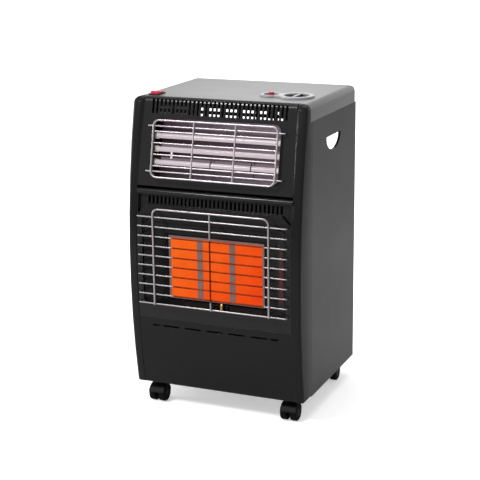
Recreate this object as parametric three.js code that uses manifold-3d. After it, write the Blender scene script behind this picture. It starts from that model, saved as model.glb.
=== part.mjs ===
// Portable cabinet heater with a gas section and an electric section.
//
// A sheet-steel cabinet on four twin-wheel casters. The front bows forward between two
// pillars. Its upper half holds three quartz tubes before a polished reflector, its lower
// half three ceramic plaques of a gas burner in a splayed recess, each behind a wire guard.
// The rear half is the bay for a gas cylinder, closed by a rear cover that tips back.
//
// Millimetres, +Z up, the front towards -Y, the floor at z = 0.

import * as THREE from 'three';
import { mergeVertices } from 'three/addons/utils/BufferGeometryUtils.js';
import Module from 'manifold-3d';

const wasm = await Module();
wasm.setup();

// ---------------------------------------------------------------------------------------
// Driving dimensions
// ---------------------------------------------------------------------------------------

// Sheet and clearances
const sheet = 1; // painted steel of the cabinet
const coverSheet = 1.2; // top cover
const surroundWall = 1.5; // front surround and fascias
const fit = 0.3; // between pieces that touch
const joint = 0.6; // visible joint lines between covers
const runGap = 0.6; // round a piece that turns or slides
const over = 1; // how far a cutting piece runs past what it cuts
const farFrontY = -300; // before everything on the front

// Cabinet
const cabinetWidth = 422;
const cabinetHeight = 680;
const casterHeight = 54;
const rearY = 168;
const surroundRearY = -137; // the side strips of the front surround end here
const coverFrontY = -147; // front edge of the top cover
const coverSkirt = 40;
const topRadius = 14; // along the top's long edges
const footRadius = 5;
const cornerRadius = 7; // upright corners of the front
const rearCornerRadius = 9;
const flange = 14; // turned-in edges of the side panels
const footFlange = 10; // turned-in foot edge of the front surround

// Bowed front, as an arc through its top and bottom edges
const bowTopY = -165;
const bowBottomY = -188;
const bowSagitta = 36;

// Front surround: pillars, with a chamfered step down to the fascias between them
const pillarTop = 27; // widths
const pillarLow = 21;
const stepTop = 8;
const stepLow = 1.5;
const chamferTop = 7;
const chamferLow = 1.5;
const returnDepth = 14; // edges that turn back from the skin
const apronSlotDrop = 17.5; // below the lower fascia
const apronSlotHeight = 4;
const apronSlotMargin = 73.5;
const apronSlotGap = 14;
const apronSlotShort = 19;
const apronLongSlots = 5;

// Upper fascia: window and the vents that run over its top edge
const upperHeight = 198;
const fasciaTopRadius = 12;
const ventCount = 33;
const ventMargin = 17.35;
const ventWidth = 5.5;
const upperVentRun = 37; // down the front
const upperVentBack = 9; // before the top cover
const windowMargin = 59;
const windowSill = 22;
const windowHeight = 130;
const windowRadius = 16;
const windowLip = 1.5;

// Lower fascia: rolled lip, sunk vent strip, opening of the burner recess
const lipDrop = 6;
const lipHeight = 13;
const lipProud = 3;
const stripHeight = 24;
const stripDepth = 8;
const stripInset = 3; // from the fascia's edge
const stripCorner = 22;
const lowerVentDrop = 4;
const lowerVentHeight = 18.5;
const recessMargin = 35;
const recessDrop = 19; // below the vent strip
const recessHeight = 216;
const recessRadius = 14;
const recessSill = 34; // lower fascia below the recess
const recessSheet = 1;
const recessDepth = 23.2; // of its floor behind the bow
const recessSplay = 14; // depth over which its walls splay
const recessFloorRadius = 8;
const recessFloorMargin = 26; // the floor's edges from the mouth's
const recessFloorHead = 38;
const recessFloorSill = 10;

// Gas burner
const plaqueCount = 3;
const plaqueWidth = 66;
const plaqueThickness = 13;
const plaqueEdge = 1.5; // hidden behind the frame on each side
const plaqueDivider = 14;
const burnerBorder = 5;
const burnerRise = 5; // above the recess floor's lower edge
const burnerProud = 1; // before the recess floor
const burnerHeadroom = 13.5; // below the recess floor's upper edge
const burnerGap = 4; // round the burner, in the recess floor
const burnerDepth = 33;
const burnerFlange = 9;
const mixingTubeBack = 18; // behind the recess floor
const mixingTubeRadius = 12;
const mixingTubeWall = 1;
const mixingTubeLength = 34;
const bellRadius = 15;
const bellHeight = 8;
const manifoldRadius = 7;
const manifoldDrop = 51; // below the burner
const manifoldEnd = 12; // past the last injector
const injectorRadius = 4;
const injectorHeight = 7;
const injectorTip = 4;
const injectorTipRadius = 1.2;
const strapWidth = 14;
const strapInset = 45; // from the ends of the manifold
const strapLeg = 14;
const strapSheet = 2;

// Pilot, under the burner
const pilotX = 15;
const pilotForward = 8; // before the recess floor
const pilotSpread = 13; // to the electrode and to the thermocouple
const pilotTipDrop = 3; // below the burner
const pilotShelfDrop = 23;
const pilotShelfSheet = 1.5;
const pilotShelfEnd = 5; // past the electrode and the thermocouple
const pilotShelfNose = 2;
const pilotSkirtDrop = 33;
const pilotSkirtEnd = 20;
const pilotSlotEnd = 7;
const pilotSlotHalfDepth = 5.5;
const pilotSlotHead = 6;
const pilotTubeRadius = 3.5;
const pilotNutRadius = 5.3;
const pilotNutHeight = 8;
const pilotPortWidth = 2;
const pilotPortHeight = 3;
const pilotPortDrop = 2;
const electrodeRadius = 3;
const electrodeTail = 14; // below the shelf
const electrodeTip = 7;
const electrodeTaper = 2;
const electrodePinRadius = 1;
const thermocoupleRadius = 2.2;
const thermocoupleTail = 12;
const thermocoupleCollarRadius = 3.5;
const thermocoupleCollar = 3;

// Electric section, measured square to its sloping guard
const tubeCount = 3;
const tubePitch = 30;
const tubeRadius = 5.5;
const tubeInset = 12; // of its ends from the reflector's
const tubeWall = 1;
const tubeDepth = 27; // from the guard's middle plane
const coilRadius = 4;
const reflectorDepth = 39;
const reflectorMargin = 49;
const troughSagitta = 6;
const troughSteps = 6;
const reflectorSheet = 0.8;
const reflectorOverlap = 3.5; // past the window
const reflectorBrow = 16; // depth over which it closes in on the tubes
const endCapLength = 15;
const endCapFloor = 3;
const endCapRadius = 7.5;
const elementBracketDepth = 35;
const elementBracketEdge = 5; // past the window
const elementBracketFoot = 10;
const elementBracketSheet = 1.5;

// Wire guards
const guardWire = 3.5; // diameter
const guardFrameWire = 4.4;
const guardCornerRadius = 14;
const guardBend = 4;
const weld = 0.7; // how far crossing wires sink into each other
const upperGuardMargin = 61;
const upperGuardInset = 2; // from the window's top and bottom
const upperGuardStandOff = 14;
const upperGuardPitch = 26;
const upperGuardInner = 4;
const upperCarrierZ = 51.2; // above and below the middle
const upperCarrierMargin = 46;
const upperGuardUpright = 50.5;
const lowerGuardStandOff = 11.8; // before the bow
const lowerGuardMargin = 70;
const lowerGuardHead = 19.4; // above the last wire
const lowerGuardRise = 6.4; // of the first wire over the recess's edge
const lowerGuardPitch = 22.8;
const lowerGuardCount = 10;
const lowerWireMargin = 29;

// Hand holes in the side panels
const handHoleDrop = 51.4; // below the top cover
const handHoleHeight = 35;
const handHoleFrontY = -42;
const handHoleRearY = 56;
const handHoleLip = 6;
const handHoleSide = 4; // upright part of its ends
const handHoleSteps = 5;

// Rear crossbar and rear cover
const barDrop = 166;
const barHeight = 28;
const barDepth = 9;
const rearCoverRise = 8; // above the cabinet's foot
const rearCoverMargin = 8;
const rearCoverLap = 6; // over the crossbar
const rearCoverDish = 10;
const rearCoverSheet = 0.8;
const rearCoverRim = 13;
const rearCoverSlope = 9;
const rearCoverCorner = 6;
const dishCorner = 10;
const louvreGap = 16;
const louvreHeight = 6;
const louvrePitchZ = 15;
const louvreMargin = 48;
const louvreInset = 30;
const louvreColumns = 5;
const louvreRows = 2;
const ribHalf = 5;
const ribRise = 2.5;
const ribMargin = 53;
const ribInset = 70;

// Base tray
const trayWall = 24;
const trayCorner = 10;
const trayDoorMargin = 20;
const socketRadius = 8; // holes over the kingpins
const tongueWidth = 34;
const tongueX = 120;
const tongueEnd = 4; // behind the rear cover

// Inner shield between the burner and the cylinder bay
const shieldForward = 2; // before the side strips' rear edges
const shieldVentDrops = [40, 26];
const shieldVentMargin = 43;
const shieldVentGap = 10;
const shieldVentCount = 8;
const shieldVentHeight = 6;
const shieldAirRise = 56;
const shieldAirHeight = 10;
const shieldPipeGap = 2;
const trayGap = 2.3; // under it, over the tray's floor

// Gas tap, its bracket and pipes
const knobMargin = 65;
const controlY = -60;
const valveWidth = 48;
const valveHeight = 38;
const valveDrop = 22; // below the top
const valveShoulder = 6;
const valveNeckRadius = 17.3;
const valveBoreGap = 0.5;
const magnetLength = 16;
const magnetRadius = 9;
const outletDrop = 20; // below the tap's top
const outletLength = 7;
const outletNutWall = 3;
const stemRadius = 4;
const stemHead = 9; // of the stem, inside the knob
const stemDrop = 22; // of the stem, inside the tap
const stemEnd = 3; // of the bore, below the pressed stem
const bracketSheet = 1.5;
const bracketHalfX = 36;
const bracketHalfY = 34;
const bracketFoot = 10;
const bracketHoleGap = 2;
const pipeBend = 10;
const supplyPipeRadius = 4;
const supplyPipeMargin = 21;
const supplyPipeBack = 11; // behind the shield's front
const pilotPipeRadius = 2;
const pilotPipeMargin = 29;
const pilotPipeBack = 9;
const pilotPipeDrop = 16; // below the pilot's shelf
const nozzleBore = 2.5;
const nozzleCollarRadius = 8;
const nozzleCollar = 7;
const nozzleRadius = 4.4;
const nozzleNeck = 3;
const barbRadius = 5.4;
const barbPitch = 6;
const barbCount = 3;

// Controls on the top
const seatDepth = 0.5; // pressed into the top cover, under the control plate and the switch
const seatGap = 0.5; // round them
const plateRise = 4;
const plateBevel = 1.4;
const knobWellRadius = 29;
const knobRimRadius = 41;
const knobWellDepth = 18;
const buttonOffset = 61; // from the knob
const buttonWellRadius = 18;
const buttonRimRadius = 26;
const buttonWellDepth = 9;
const wellWall = 1.6;
const waistNearKnob = 25.4; // half widths of the plate's waist
const waistNearButton = 19.2;
const waistEnd = 12;
const knobRadius = 27;
const knobTravel = 5;
const knobDisc = 6;
const knobBevel = 1.5;
const knobBarWidth = 11;
const knobBarHeight = 6;
const knobBarInset = 0.8;
const knobBarSlope = 3;
const buttonRadius = 6.5;
const buttonRise = 9; // above the top cover
const buttonBevel = 1.5;
const buttonTravel = 7;
const buttonLength = 30;
const igniterRadius = 10;
const igniterLength = 44;
const igniterPinRadius = 3;
const igniterPin = 8;
const switchMargin = 38;
const switchBack = 27; // behind the top cover's front edge
const switchLength = 38; // front to back
const switchWidth = 25;
const switchDepth = 24;
const switchRim = 2;
const switchWell = 9.5;
const switchPlay = 1.5;
const rockerLength = 30;
const rockerWidth = 18;
const rockerRise = 10;
const rockerDip = 1.2; // in the middle
const rockerNose = 1.5;
const rockerBelly = 8;
const rockerPivotDrop = 3; // below the top cover
const rockerThrow = 16; // degrees
const bladePitch = 8;
const bladeWidth = 6;
const bladeSheet = 0.8;
const bladeLength = 8;

// Small electrical parts
const tiltMargin = 36;
const tiltDrop = 58;
const tiltWidth = 30;
const tiltHeight = 36;
const tiltDepth = 16;
const tiltBladeX = 7;
const tiltBladeY = 6;
const terminalMargin = 96;
const terminalDrop = 59;
const terminalWidth = 50;
const terminalHeight = 20;
const terminalDepth = 18;
const terminalPitch = 15;
const terminalHole = 4;
const terminalFloor = 12;
const glandMargin = 91;
const glandRise = 18; // above the side panels
const glandRadius = 8;
const glandBore = 4;
const glandLength = 14;
const glandHead = 12;
const glandLip = 3;

// Casters
const casterMargin = 43;
const casterFrontInset = 44;
const casterRearInset = 34;
const casterOffset = 14;
const wheelRadius = 20;
const wheelWidth = 15;
const wheelRound = 2;
const casterHubGap = 10;
const casterWebPlay = 0.5;
const casterAxleRadius = 3;
const casterAxlePlay = 0.5;
const casterPlate = 38;
const casterPlateCorner = 5;
const casterPlateSheet = 1.5;
const casterBossRadius = 12;
const casterBoss = 4;
const kingpinRadius = 4.5;
const fenderGap = 1;
const fenderSheet = 1.6;
const fenderOverhang = 1; // inside the wheels' outer faces
const fenderFront = 0.1; // radians above the axle
const fenderRear = 0.25;
const webRadius = 9;

// Facets
const arcSteps = 3; // in a quarter turn
const bendSteps = 3; // in a bend of a pipe
const wireBendSteps = 2;
const bowSteps = 8;
const fasciaSteps = 4;
const fenderSteps = 7;
const roundSides = 16;
const discSides = 28;
const wheelSides = 18;
const wireSides = 6;
const smallSides = 10;
const boltSides = 6;

// ---------------------------------------------------------------------------------------
// Sizes that follow
// ---------------------------------------------------------------------------------------

const quarter = Math.PI / 2;

// Heights, and the halves of widths
const bottomZ = casterHeight;
const topZ = bottomZ + cabinetHeight;
const panelTop = topZ - coverSkirt;
const seatZ = topZ - seatDepth;
const coverUnderside = topZ - coverSheet;
const halfWidth = cabinetWidth / 2;
const panelInner = halfWidth - sheet;
const fasciaTopHalf = halfWidth - pillarTop;
const fasciaLowHalf = halfWidth - pillarLow;
const fasciaSplitZ = topZ - upperHeight;
const windowHalf = halfWidth - windowMargin;
const windowBottom = fasciaSplitZ + windowSill;
const windowTop = windowBottom + windowHeight;
const windowMiddleZ = (windowTop + windowBottom) / 2;
const ventPitch = (2 * (fasciaTopHalf - ventMargin)) / ventCount;
const upperVentBottom = topZ - upperVentRun;
const lipTop = fasciaSplitZ - lipDrop;
const lipBottom = lipTop - lipHeight;
const stripHalf = fasciaLowHalf - stripInset;
const stripBottom = lipBottom - stripHeight;
const lowerVentTop = lipBottom - lowerVentDrop;
const recessHalf = halfWidth - recessMargin;
const recessTop = stripBottom - recessDrop;
const recessBottom = recessTop - recessHeight;
const recessFloorHalf = recessHalf - recessFloorMargin;
const recessFloorBottom = recessBottom + recessFloorSill;
const recessFloorTop = recessTop - recessFloorHead;
const apronTop = recessBottom - recessSill;
const apronSlotZ = apronTop - apronSlotDrop;
const apronSlotPitch = (2 * (halfWidth - apronSlotMargin)) / apronLongSlots;
const apronSlotLong = apronSlotPitch - apronSlotGap;
const burnerHalf = (plaqueCount * plaqueWidth + (plaqueCount - 1) * plaqueDivider) / 2 + burnerBorder;
const burnerBottom = recessFloorBottom + burnerRise;
const burnerTop = recessFloorTop - burnerHeadroom;
const plaqueXs = centred(plaqueCount, plaqueWidth + plaqueDivider);
const manifoldZ = burnerBottom - manifoldDrop;
const manifoldHalf = Math.max(...plaqueXs) + manifoldEnd;
const pilotTipZ = burnerBottom - pilotTipDrop;
const pilotShelfZ = burnerBottom - pilotShelfDrop;
const pilotSkirtBottom = burnerBottom - pilotSkirtDrop;
const pilotPipeZ = pilotShelfZ - pilotPipeDrop;

// The bow's circle
const bowChord = Math.hypot(bowTopY - bowBottomY, cabinetHeight);
const bowRadius = ((bowChord / 2) ** 2 + bowSagitta ** 2) / (2 * bowSagitta);
const bowBack = bowRadius - bowSagitta;
const bowCentreY = (bowTopY + bowBottomY) / 2 + (bowBack * cabinetHeight) / bowChord;
const bowCentreZ = (topZ + bottomZ) / 2 - (bowBack * (bowTopY - bowBottomY)) / bowChord;

// Depths of the gas section
const recessFrontY = bowY((recessTop + recessBottom) / 2);
const recessFloorY = recessFrontY + recessDepth;
const recessSlopeY = recessFloorY - recessSplay;
const burnerFaceY = recessFloorY - burnerProud;
const plaqueY = burnerFaceY + sheet + fit;
const burnerBackY = plaqueY + burnerDepth;
const mixingTubeY = recessFloorY + mixingTubeBack;
const pilotY = recessFloorY - pilotForward;
const lowerGuardY = recessFrontY - lowerGuardStandOff;
const shieldY = surroundRearY - shieldForward;
const behindShield = shieldY + sheet + fit;
const supplyPipeX = halfWidth - supplyPipeMargin;
const supplyPipeY = shieldY + supplyPipeBack;
const pilotPipeX = halfWidth - pilotPipeMargin;
const pilotPipeY = shieldY + pilotPipeBack;

// Electric section: its tilt, and its pieces measured square to the guard
const windowTilt = Math.atan2(fasciaY(windowTop) - fasciaY(windowBottom), windowHeight);
const windowHalfHeight = windowHeight / 2 / Math.cos(windowTilt);
const guardPlaneY = fasciaY(windowMiddleZ) - upperGuardStandOff;
const windowBulge = fasciaY(windowTop) - fasciaY(windowMiddleZ) - (windowHeight / 2) * Math.tan(windowTilt);
const reflectorFront = upperGuardStandOff + surroundWall + windowBulge + 3 * fit;
const reflectorHalf = halfWidth - reflectorMargin;
const tubeLength = 2 * (reflectorHalf - tubeInset);
const tubeHeights = centred(tubeCount, tubePitch);

// Wire guards
const wireBehind = guardFrameWire / 2 + guardWire / 2 - weld;
const upperGuardHalf = halfWidth - upperGuardMargin;
const upperGuardHalfHeight = (windowHeight / 2 - upperGuardInset) / Math.cos(windowTilt);
const upperCarrierHalf = halfWidth - upperCarrierMargin;
const lowerGuardHalf = halfWidth - lowerGuardMargin;
const lowerWireHalf = halfWidth - lowerWireMargin;
const lowerGuardFirst = recessBottom + lowerGuardRise;
const lowerGuardFoot = lowerGuardFirst - guardWire / 2;
const lowerGuardTop = lowerGuardFirst + (lowerGuardCount - 1) * lowerGuardPitch + lowerGuardHead;

// Base tray, rear and sides
const trayHalf = halfWidth - footRadius - surroundWall - fit;
const trayFloor = bottomZ + surroundWall + fit;
const trayRear = rearY - 2 * sheet;
const barTop = topZ - barDrop;
const barBottom = barTop - barHeight;
const rearCoverHalf = halfWidth - rearCoverMargin;
const rearCoverBottom = bottomZ + rearCoverRise;
const rearCoverTop = barTop - rearCoverLap;
const louvrePitchX = (2 * (rearCoverHalf - louvreMargin)) / louvreColumns;
const louvreLength = louvrePitchX - louvreGap;
const ribX = rearCoverHalf - ribMargin;
const handHoleTop = panelTop - handHoleDrop;
const shieldVentPitch = (2 * (halfWidth - shieldVentMargin)) / shieldVentCount;
const shieldVentLength = shieldVentPitch - shieldVentGap;
const shieldAirZ = bottomZ + shieldAirRise;

// Controls, tap and small parts
const plateTop = topZ + plateRise;
const knobX = halfWidth - knobMargin;
const buttonX = knobX - buttonOffset;
const knobWellFloorZ = plateTop - knobWellDepth;
const knobBottomZ = knobWellFloorZ + knobTravel + runGap;
const buttonFloorZ = plateTop - buttonWellDepth;
const buttonTopZ = topZ + buttonRise;
const valveTopZ = topZ - valveDrop;
const valveBottomZ = valveTopZ - valveHeight;
const outletZ = valveTopZ - outletDrop;
const bracketPlateZ = valveTopZ + fit;
const switchX = switchMargin - halfWidth;
const switchY = coverFrontY + switchBack;
const rockerPivotZ = topZ - rockerPivotDrop;
const tiltX = tiltMargin - halfWidth;
const terminalX = terminalMargin - halfWidth;
const glandX = glandMargin - halfWidth;
const glandZ = panelTop + glandRise;

// Casters
const casterX = halfWidth - casterMargin;
const frontCasterY = bowBottomY + casterFrontInset;
const rearCasterY = rearY - casterRearInset;
const casterPlaces = [
  [-casterX, frontCasterY], [casterX, frontCasterY], [-casterX, rearCasterY], [casterX, rearCasterY],
];
const hoodTopZ = bottomZ - casterBoss - runGap;
const wheelOuter = casterHubGap / 2 + wheelWidth;
const fenderHalf = wheelOuter - fenderOverhang;

// ---------------------------------------------------------------------------------------
// Solids
// ---------------------------------------------------------------------------------------

// Turns a closed three.js geometry into a solid that can be joined and cut.
function solid(geometry) {
  const bare = geometry.clone();
  bare.deleteAttribute('normal');
  bare.deleteAttribute('uv');
  const merged = mergeVertices(bare, 1e-4);
  return new wasm.Manifold(new wasm.Mesh({
    numProp: 3,
    vertProperties: new Float32Array(merged.attributes.position.array),
    triVerts: new Uint32Array(merged.index.array),
  }));
}

// Turns a solid back into a flat-shaded geometry.
function geometryOf(shape) {
  const mesh = shape.getMesh();
  const indexed = new THREE.BufferGeometry();
  indexed.setAttribute('position', new THREE.BufferAttribute(new Float32Array(mesh.vertProperties), 3));
  indexed.setIndex(new THREE.BufferAttribute(new Uint32Array(mesh.triVerts), 1));
  const geometry = indexed.toNonIndexed();
  geometry.computeVertexNormals();
  return geometry;
}

function join(...shapes) {
  return shapes.reduce((whole, shape) => whole.add(shape));
}

function cut(shape, ...tools) {
  return tools.reduce((rest, tool) => rest.subtract(tool), shape);
}

// Counts from 0 to count - 1 and collects what make() returns for each.
function repeat(count, make) {
  return Array.from({ length: count }, (_, index) => make(index));
}

// Places of a row of equal steps, centred on the middle.
function centred(count, pitch) {
  return repeat(count, (index) => (index - (count - 1) / 2) * pitch);
}

// The value at z on the line through (z0, v0) and (z1, v1), held beyond its ends.
function ramp(z, z0, v0, z1, v1) {
  return THREE.MathUtils.mapLinear(THREE.MathUtils.clamp(z, z0, z1), z0, z1, v0, v1);
}

function box(x0, x1, y0, y1, z0, z1) {
  const geometry = new THREE.BoxGeometry(x1 - x0, y1 - y0, z1 - z0);
  geometry.translate((x0 + x1) / 2, (y0 + y1) / 2, (z0 + z1) / 2);
  return solid(geometry);
}

function outline(points) {
  return new THREE.Shape(points.map(([u, v]) => new THREE.Vector2(u, v)));
}

// Turns what lies flat in XY to face along an axis: its plane is YZ for x and XZ for y.
function facing(axis) {
  const x = new THREE.Vector3(1, 0, 0);
  const y = new THREE.Vector3(0, 1, 0);
  const z = new THREE.Vector3(0, 0, 1);
  if (axis === 'x') {
    return new THREE.Matrix4().makeBasis(y, z, x);
  }
  if (axis === 'y') {
    return new THREE.Matrix4().makeBasis(x, z, y.negate());
  }
  return new THREE.Matrix4();
}

// Extrudes an outline along an axis, from one place to another.
function prism(axis, shape, from, to, curveSegments = arcSteps / 2) {
  const depth = to - from;
  const geometry = new THREE.ExtrudeGeometry(shape, { depth, bevelEnabled: false, curveSegments });
  geometry.translate(0, 0, axis === 'y' ? -to : from);
  geometry.applyMatrix4(facing(axis));
  return solid(geometry);
}

function roundedRect(u0, u1, v0, v1, radius) {
  const shape = new THREE.Shape();
  shape.absarc(u0 + radius, v0 + radius, radius, Math.PI, 1.5 * Math.PI);
  shape.absarc(u1 - radius, v0 + radius, radius, 1.5 * Math.PI, 2 * Math.PI);
  shape.absarc(u1 - radius, v1 - radius, radius, 0, 0.5 * Math.PI);
  shape.absarc(u0 + radius, v1 - radius, radius, 0.5 * Math.PI, Math.PI);
  shape.closePath();
  return shape;
}

// A round bar, or a cone, between two points.
function rod(start, end, radius, sides = roundSides, endRadius = radius) {
  const from = new THREE.Vector3(...start);
  const along = new THREE.Vector3(...end).sub(from);
  const geometry = new THREE.CylinderGeometry(endRadius, radius, along.length(), sides);
  const up = new THREE.Vector3(0, 1, 0);
  geometry.applyQuaternion(new THREE.Quaternion().setFromUnitVectors(up, along.clone().normalize()));
  const middle = from.addScaledVector(along, 0.5);
  geometry.translate(middle.x, middle.y, middle.z);
  return solid(geometry);
}

// A turned solid round the Z axis at (x, y), from a closed [radius, z] profile.
function turned(profile, x, y, sides = roundSides) {
  const points = profile.map(([radius, z]) => new THREE.Vector2(radius, z));
  const geometry = new THREE.LatheGeometry([...points, points[0]], sides);
  geometry.rotateX(Math.PI / 2);
  geometry.translate(x, y, 0);
  return solid(geometry);
}

// A line of points whose corners are rounded to a bend radius.
function bend(corners, radius, steps = bendSteps) {
  const points = corners.map((corner) => new THREE.Vector3(...corner));
  const path = [points[0]];
  for (let index = 1; index < points.length - 1; index += 1) {
    const toBack = points[index - 1].clone().sub(points[index]).normalize();
    const toFront = points[index + 1].clone().sub(points[index]).normalize();
    const halfAngle = toBack.angleTo(toFront) / 2;
    const bisector = toBack.clone().add(toFront).normalize();
    const centre = points[index].clone().addScaledVector(bisector, radius / Math.sin(halfAngle));
    const first = points[index].clone().addScaledVector(toBack, radius / Math.tan(halfAngle)).sub(centre);
    const axis = toFront.clone().cross(toBack).normalize();
    const turn = Math.PI - 2 * halfAngle;
    for (let step = 0; step <= steps; step += 1) {
      path.push(first.clone().applyAxisAngle(axis, (turn * step) / steps).add(centre));
    }
  }
  path.push(points[points.length - 1]);
  return path;
}

// A path that runs through its points, one step from each to the next.
class WirePath extends THREE.Curve {
  constructor(points) {
    super();
    this.points = points;
  }

  getPoint(t) {
    const place = t * (this.points.length - 1);
    const index = Math.min(Math.floor(place), this.points.length - 2);
    return this.points[index].clone().lerp(this.points[index + 1], place - index);
  }

  getTangent(t) {
    const last = this.points.length - 1;
    const index = Math.round(t * last);
    const here = this.points[index];
    const before = here.clone().sub(this.points[Math.max(index - 1, 0)]).normalize();
    const after = this.points[Math.min(index + 1, last)].clone().sub(here).normalize();
    return before.add(after).normalize();
  }

  getUtoTmapping(u) {
    return u;
  }
}

// A bent wire, bar or pipe of round section.
function wire(corners, bendRadius, radius, sides = 8, steps = bendSteps) {
  const path = new WirePath(bend(corners, bendRadius, steps));
  const section = new THREE.Shape();
  section.absarc(0, 0, radius, 0, 2 * Math.PI);
  const settings = {
    steps: path.points.length - 1, extrudePath: path, curveSegments: sides / 2, bevelEnabled: false,
  };
  return solid(new THREE.ExtrudeGeometry(section, settings));
}

// Skins a stack of rings, each with as many [x, y, z] points, into one solid. The rings lie
// flat, stacked upwards, and facing() may then turn the stack.
function loft(rings, axis = 'z') {
  const count = rings[0].length;
  const positions = rings.flat(2);
  const faces = [];
  for (let level = 0; level < rings.length - 1; level += 1) {
    for (let index = 0; index < count; index += 1) {
      const next = (index + 1) % count;
      const low = level * count;
      const high = low + count;
      faces.push(low + index, low + next, high + next, low + index, high + next, high + index);
    }
  }
  const flat = rings[0].map(([x, y]) => new THREE.Vector2(x, y));
  const top = (rings.length - 1) * count;
  for (const [a, b, c] of THREE.ShapeUtils.triangulateShape(flat, [])) {
    faces.push(a, c, b);
    faces.push(top + a, top + b, top + c);
  }
  const geometry = new THREE.BufferGeometry();
  geometry.setAttribute('position', new THREE.BufferAttribute(new Float32Array(positions), 3));
  geometry.setIndex(faces);
  geometry.applyMatrix4(facing(axis));
  return solid(geometry);
}

// A closed loop of round wire along a flat outline in XZ, at a Y.
function wireLoop(shape, y, radius, sides = 8) {
  const points = shape.getPoints(arcSteps / 2);
  if (points[0].distanceTo(points[points.length - 1]) < 1e-6) {
    points.pop();
  }
  const rings = points.map((point, index) => {
    const before = points[(index + points.length - 1) % points.length];
    const after = points[(index + 1) % points.length];
    const along = after.clone().sub(point).normalize().add(point.clone().sub(before).normalize()).normalize();
    return repeat(sides, (side) => {
      const angle = (2 * Math.PI * (side + 0.5)) / sides;
      const out = radius * Math.cos(angle);
      return [point.x + along.y * out, y + radius * Math.sin(angle), point.y - along.x * out];
    });
  });
  const faces = [];
  rings.forEach((ring, level) => {
    const low = level * sides;
    const high = ((level + 1) % rings.length) * sides;
    ring.forEach((_, index) => {
      const next = (index + 1) % sides;
      faces.push(low + index, high + next, high + index, low + index, low + next, high + next);
    });
  });
  const geometry = new THREE.BufferGeometry();
  geometry.setAttribute('position', new THREE.BufferAttribute(new Float32Array(rings.flat(2)), 3));
  geometry.setIndex(faces);
  return solid(geometry);
}

// Points of an arc in a plane, from one angle to another.
function arc(u, v, radius, from, to, steps = arcSteps) {
  return repeat(steps + 1, (index) => {
    const angle = from + ((to - from) * index) / steps;
    return [u + radius * Math.cos(angle), v + radius * Math.sin(angle)];
  });
}

// ---------------------------------------------------------------------------------------
// The bowed front
// ---------------------------------------------------------------------------------------

// The Y of the pillars' front at a height.
function bowY(z) {
  return bowCentreY - Math.sqrt(bowRadius ** 2 - (z - bowCentreZ) ** 2);
}

// How far the fascias lie behind the pillars, and how wide they are to each side.
function stepAt(z) {
  return ramp(z, fasciaSplitZ, stepLow, topZ, stepTop);
}

function fasciaHalfAt(z) {
  return ramp(z, fasciaSplitZ, fasciaLowHalf, topZ, fasciaTopHalf);
}

function chamferAt(z) {
  return ramp(z, fasciaSplitZ, chamferLow, windowBottom + windowRadius, chamferTop);
}

function fasciaY(z) {
  return bowY(z) + stepAt(z);
}

// How far an edge of a radius has drawn in at a depth past the start of its curve.
function roundedInset(radius, past) {
  const depth = THREE.MathUtils.clamp(past, 0, radius);
  return radius - Math.sqrt(radius ** 2 - depth ** 2);
}

// How far a rounded top or foot edge draws the outline in at a height.
function edgeInset(z, top, foot) {
  return roundedInset(top, z - (topZ - top)) + roundedInset(foot, bottomZ + foot - z);
}

// Heights from bottom to top, closer together where the top and foot edges turn in.
function levels(from, to, top, foot, steps) {
  const low = from + foot;
  const high = to - top;
  const footLevels = foot ? arc(0, low, foot, -quarter, 0).map(([, z]) => z).slice(0, -1) : [];
  const topLevels = top ? arc(0, high, top, 0, quarter).map(([, z]) => z).slice(1) : [];
  return [...footLevels, ...repeat(steps + 1, (index) => low + ((high - low) * index) / steps), ...topLevels];
}

// The front's skin as a band behind the bow, from one depth to another.
function bowBand(depthFrom, depthTo, halfX, surface = bowY) {
  const heights = levels(bottomZ - over, topZ + over, 0, 0, bowSteps);
  const near = heights.map((z) => [surface(z) + depthFrom, z]);
  const far = heights.map((z) => [surface(z) + depthTo, z]).reverse();
  return prism('x', outline([...near, ...far]), -halfX, halfX);
}

// The plan of the front surround at a height, drawn in by a wall.
function surroundRing(z, inset, wall, rear) {
  const draw = inset + wall;
  const side = halfWidth - draw;
  const front = bowY(z) + draw;
  const radius = Math.max(cornerRadius - draw, over);
  const inner = fasciaHalfAt(z);
  const outer = inner + chamferAt(z);
  const left = arc(radius - side, front + radius, radius, 2 * quarter, 3 * quarter);
  const right = arc(side - radius, front + radius, radius, 3 * quarter, 4 * quarter);
  const sunk = front + stepAt(z);
  const plan = [
    [-side, rear], ...left, [-outer, front], [-inner, sunk],
    [inner, sunk], [outer, front], ...right, [side, rear],
  ];
  return plan.map(([x, y]) => [x, y, z]);
}

// The trapezoid between the pillars, from a bottom to above the top, grown by an amount.
function fasciaField(bottom, top, grow) {
  const low = bottom - grow;
  const high = top + grow;
  const heights = [...new Set([low, fasciaSplitZ, high])].filter((z) => z >= low && z <= high);
  const right = heights.map((z) => [fasciaHalfAt(z) + grow, z]);
  const left = heights.map((z) => [-fasciaHalfAt(z) - grow, z]).reverse();
  return outline([...right, ...left]);
}

// A slot whose ends are the facets of half an octagon.
function slotShape(centreU, centreV, width, height) {
  const corner = Math.min(width, height) * (1 - Math.SQRT1_2);
  const [halfU, halfV] = [width / 2, height / 2];
  const corners = [[-1, -1], [1, -1], [1, 1], [-1, 1]];
  return outline(corners.flatMap(([signU, signV]) => {
    const onSide = [centreU + signU * halfU, centreV + signV * (halfV - corner)];
    const onEnd = [centreU + signU * (halfU - corner), centreV + signV * halfV];
    return signU === signV ? [onSide, onEnd] : [onEnd, onSide];
  }));
}

// Cuts that run from before the front to a depth, or right through to the bay.
function throughFront(shape, curveSegments = arcSteps / 2, rear = 0) {
  return prism('y', shape, farFrontY, rear, curveSegments);
}

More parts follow.
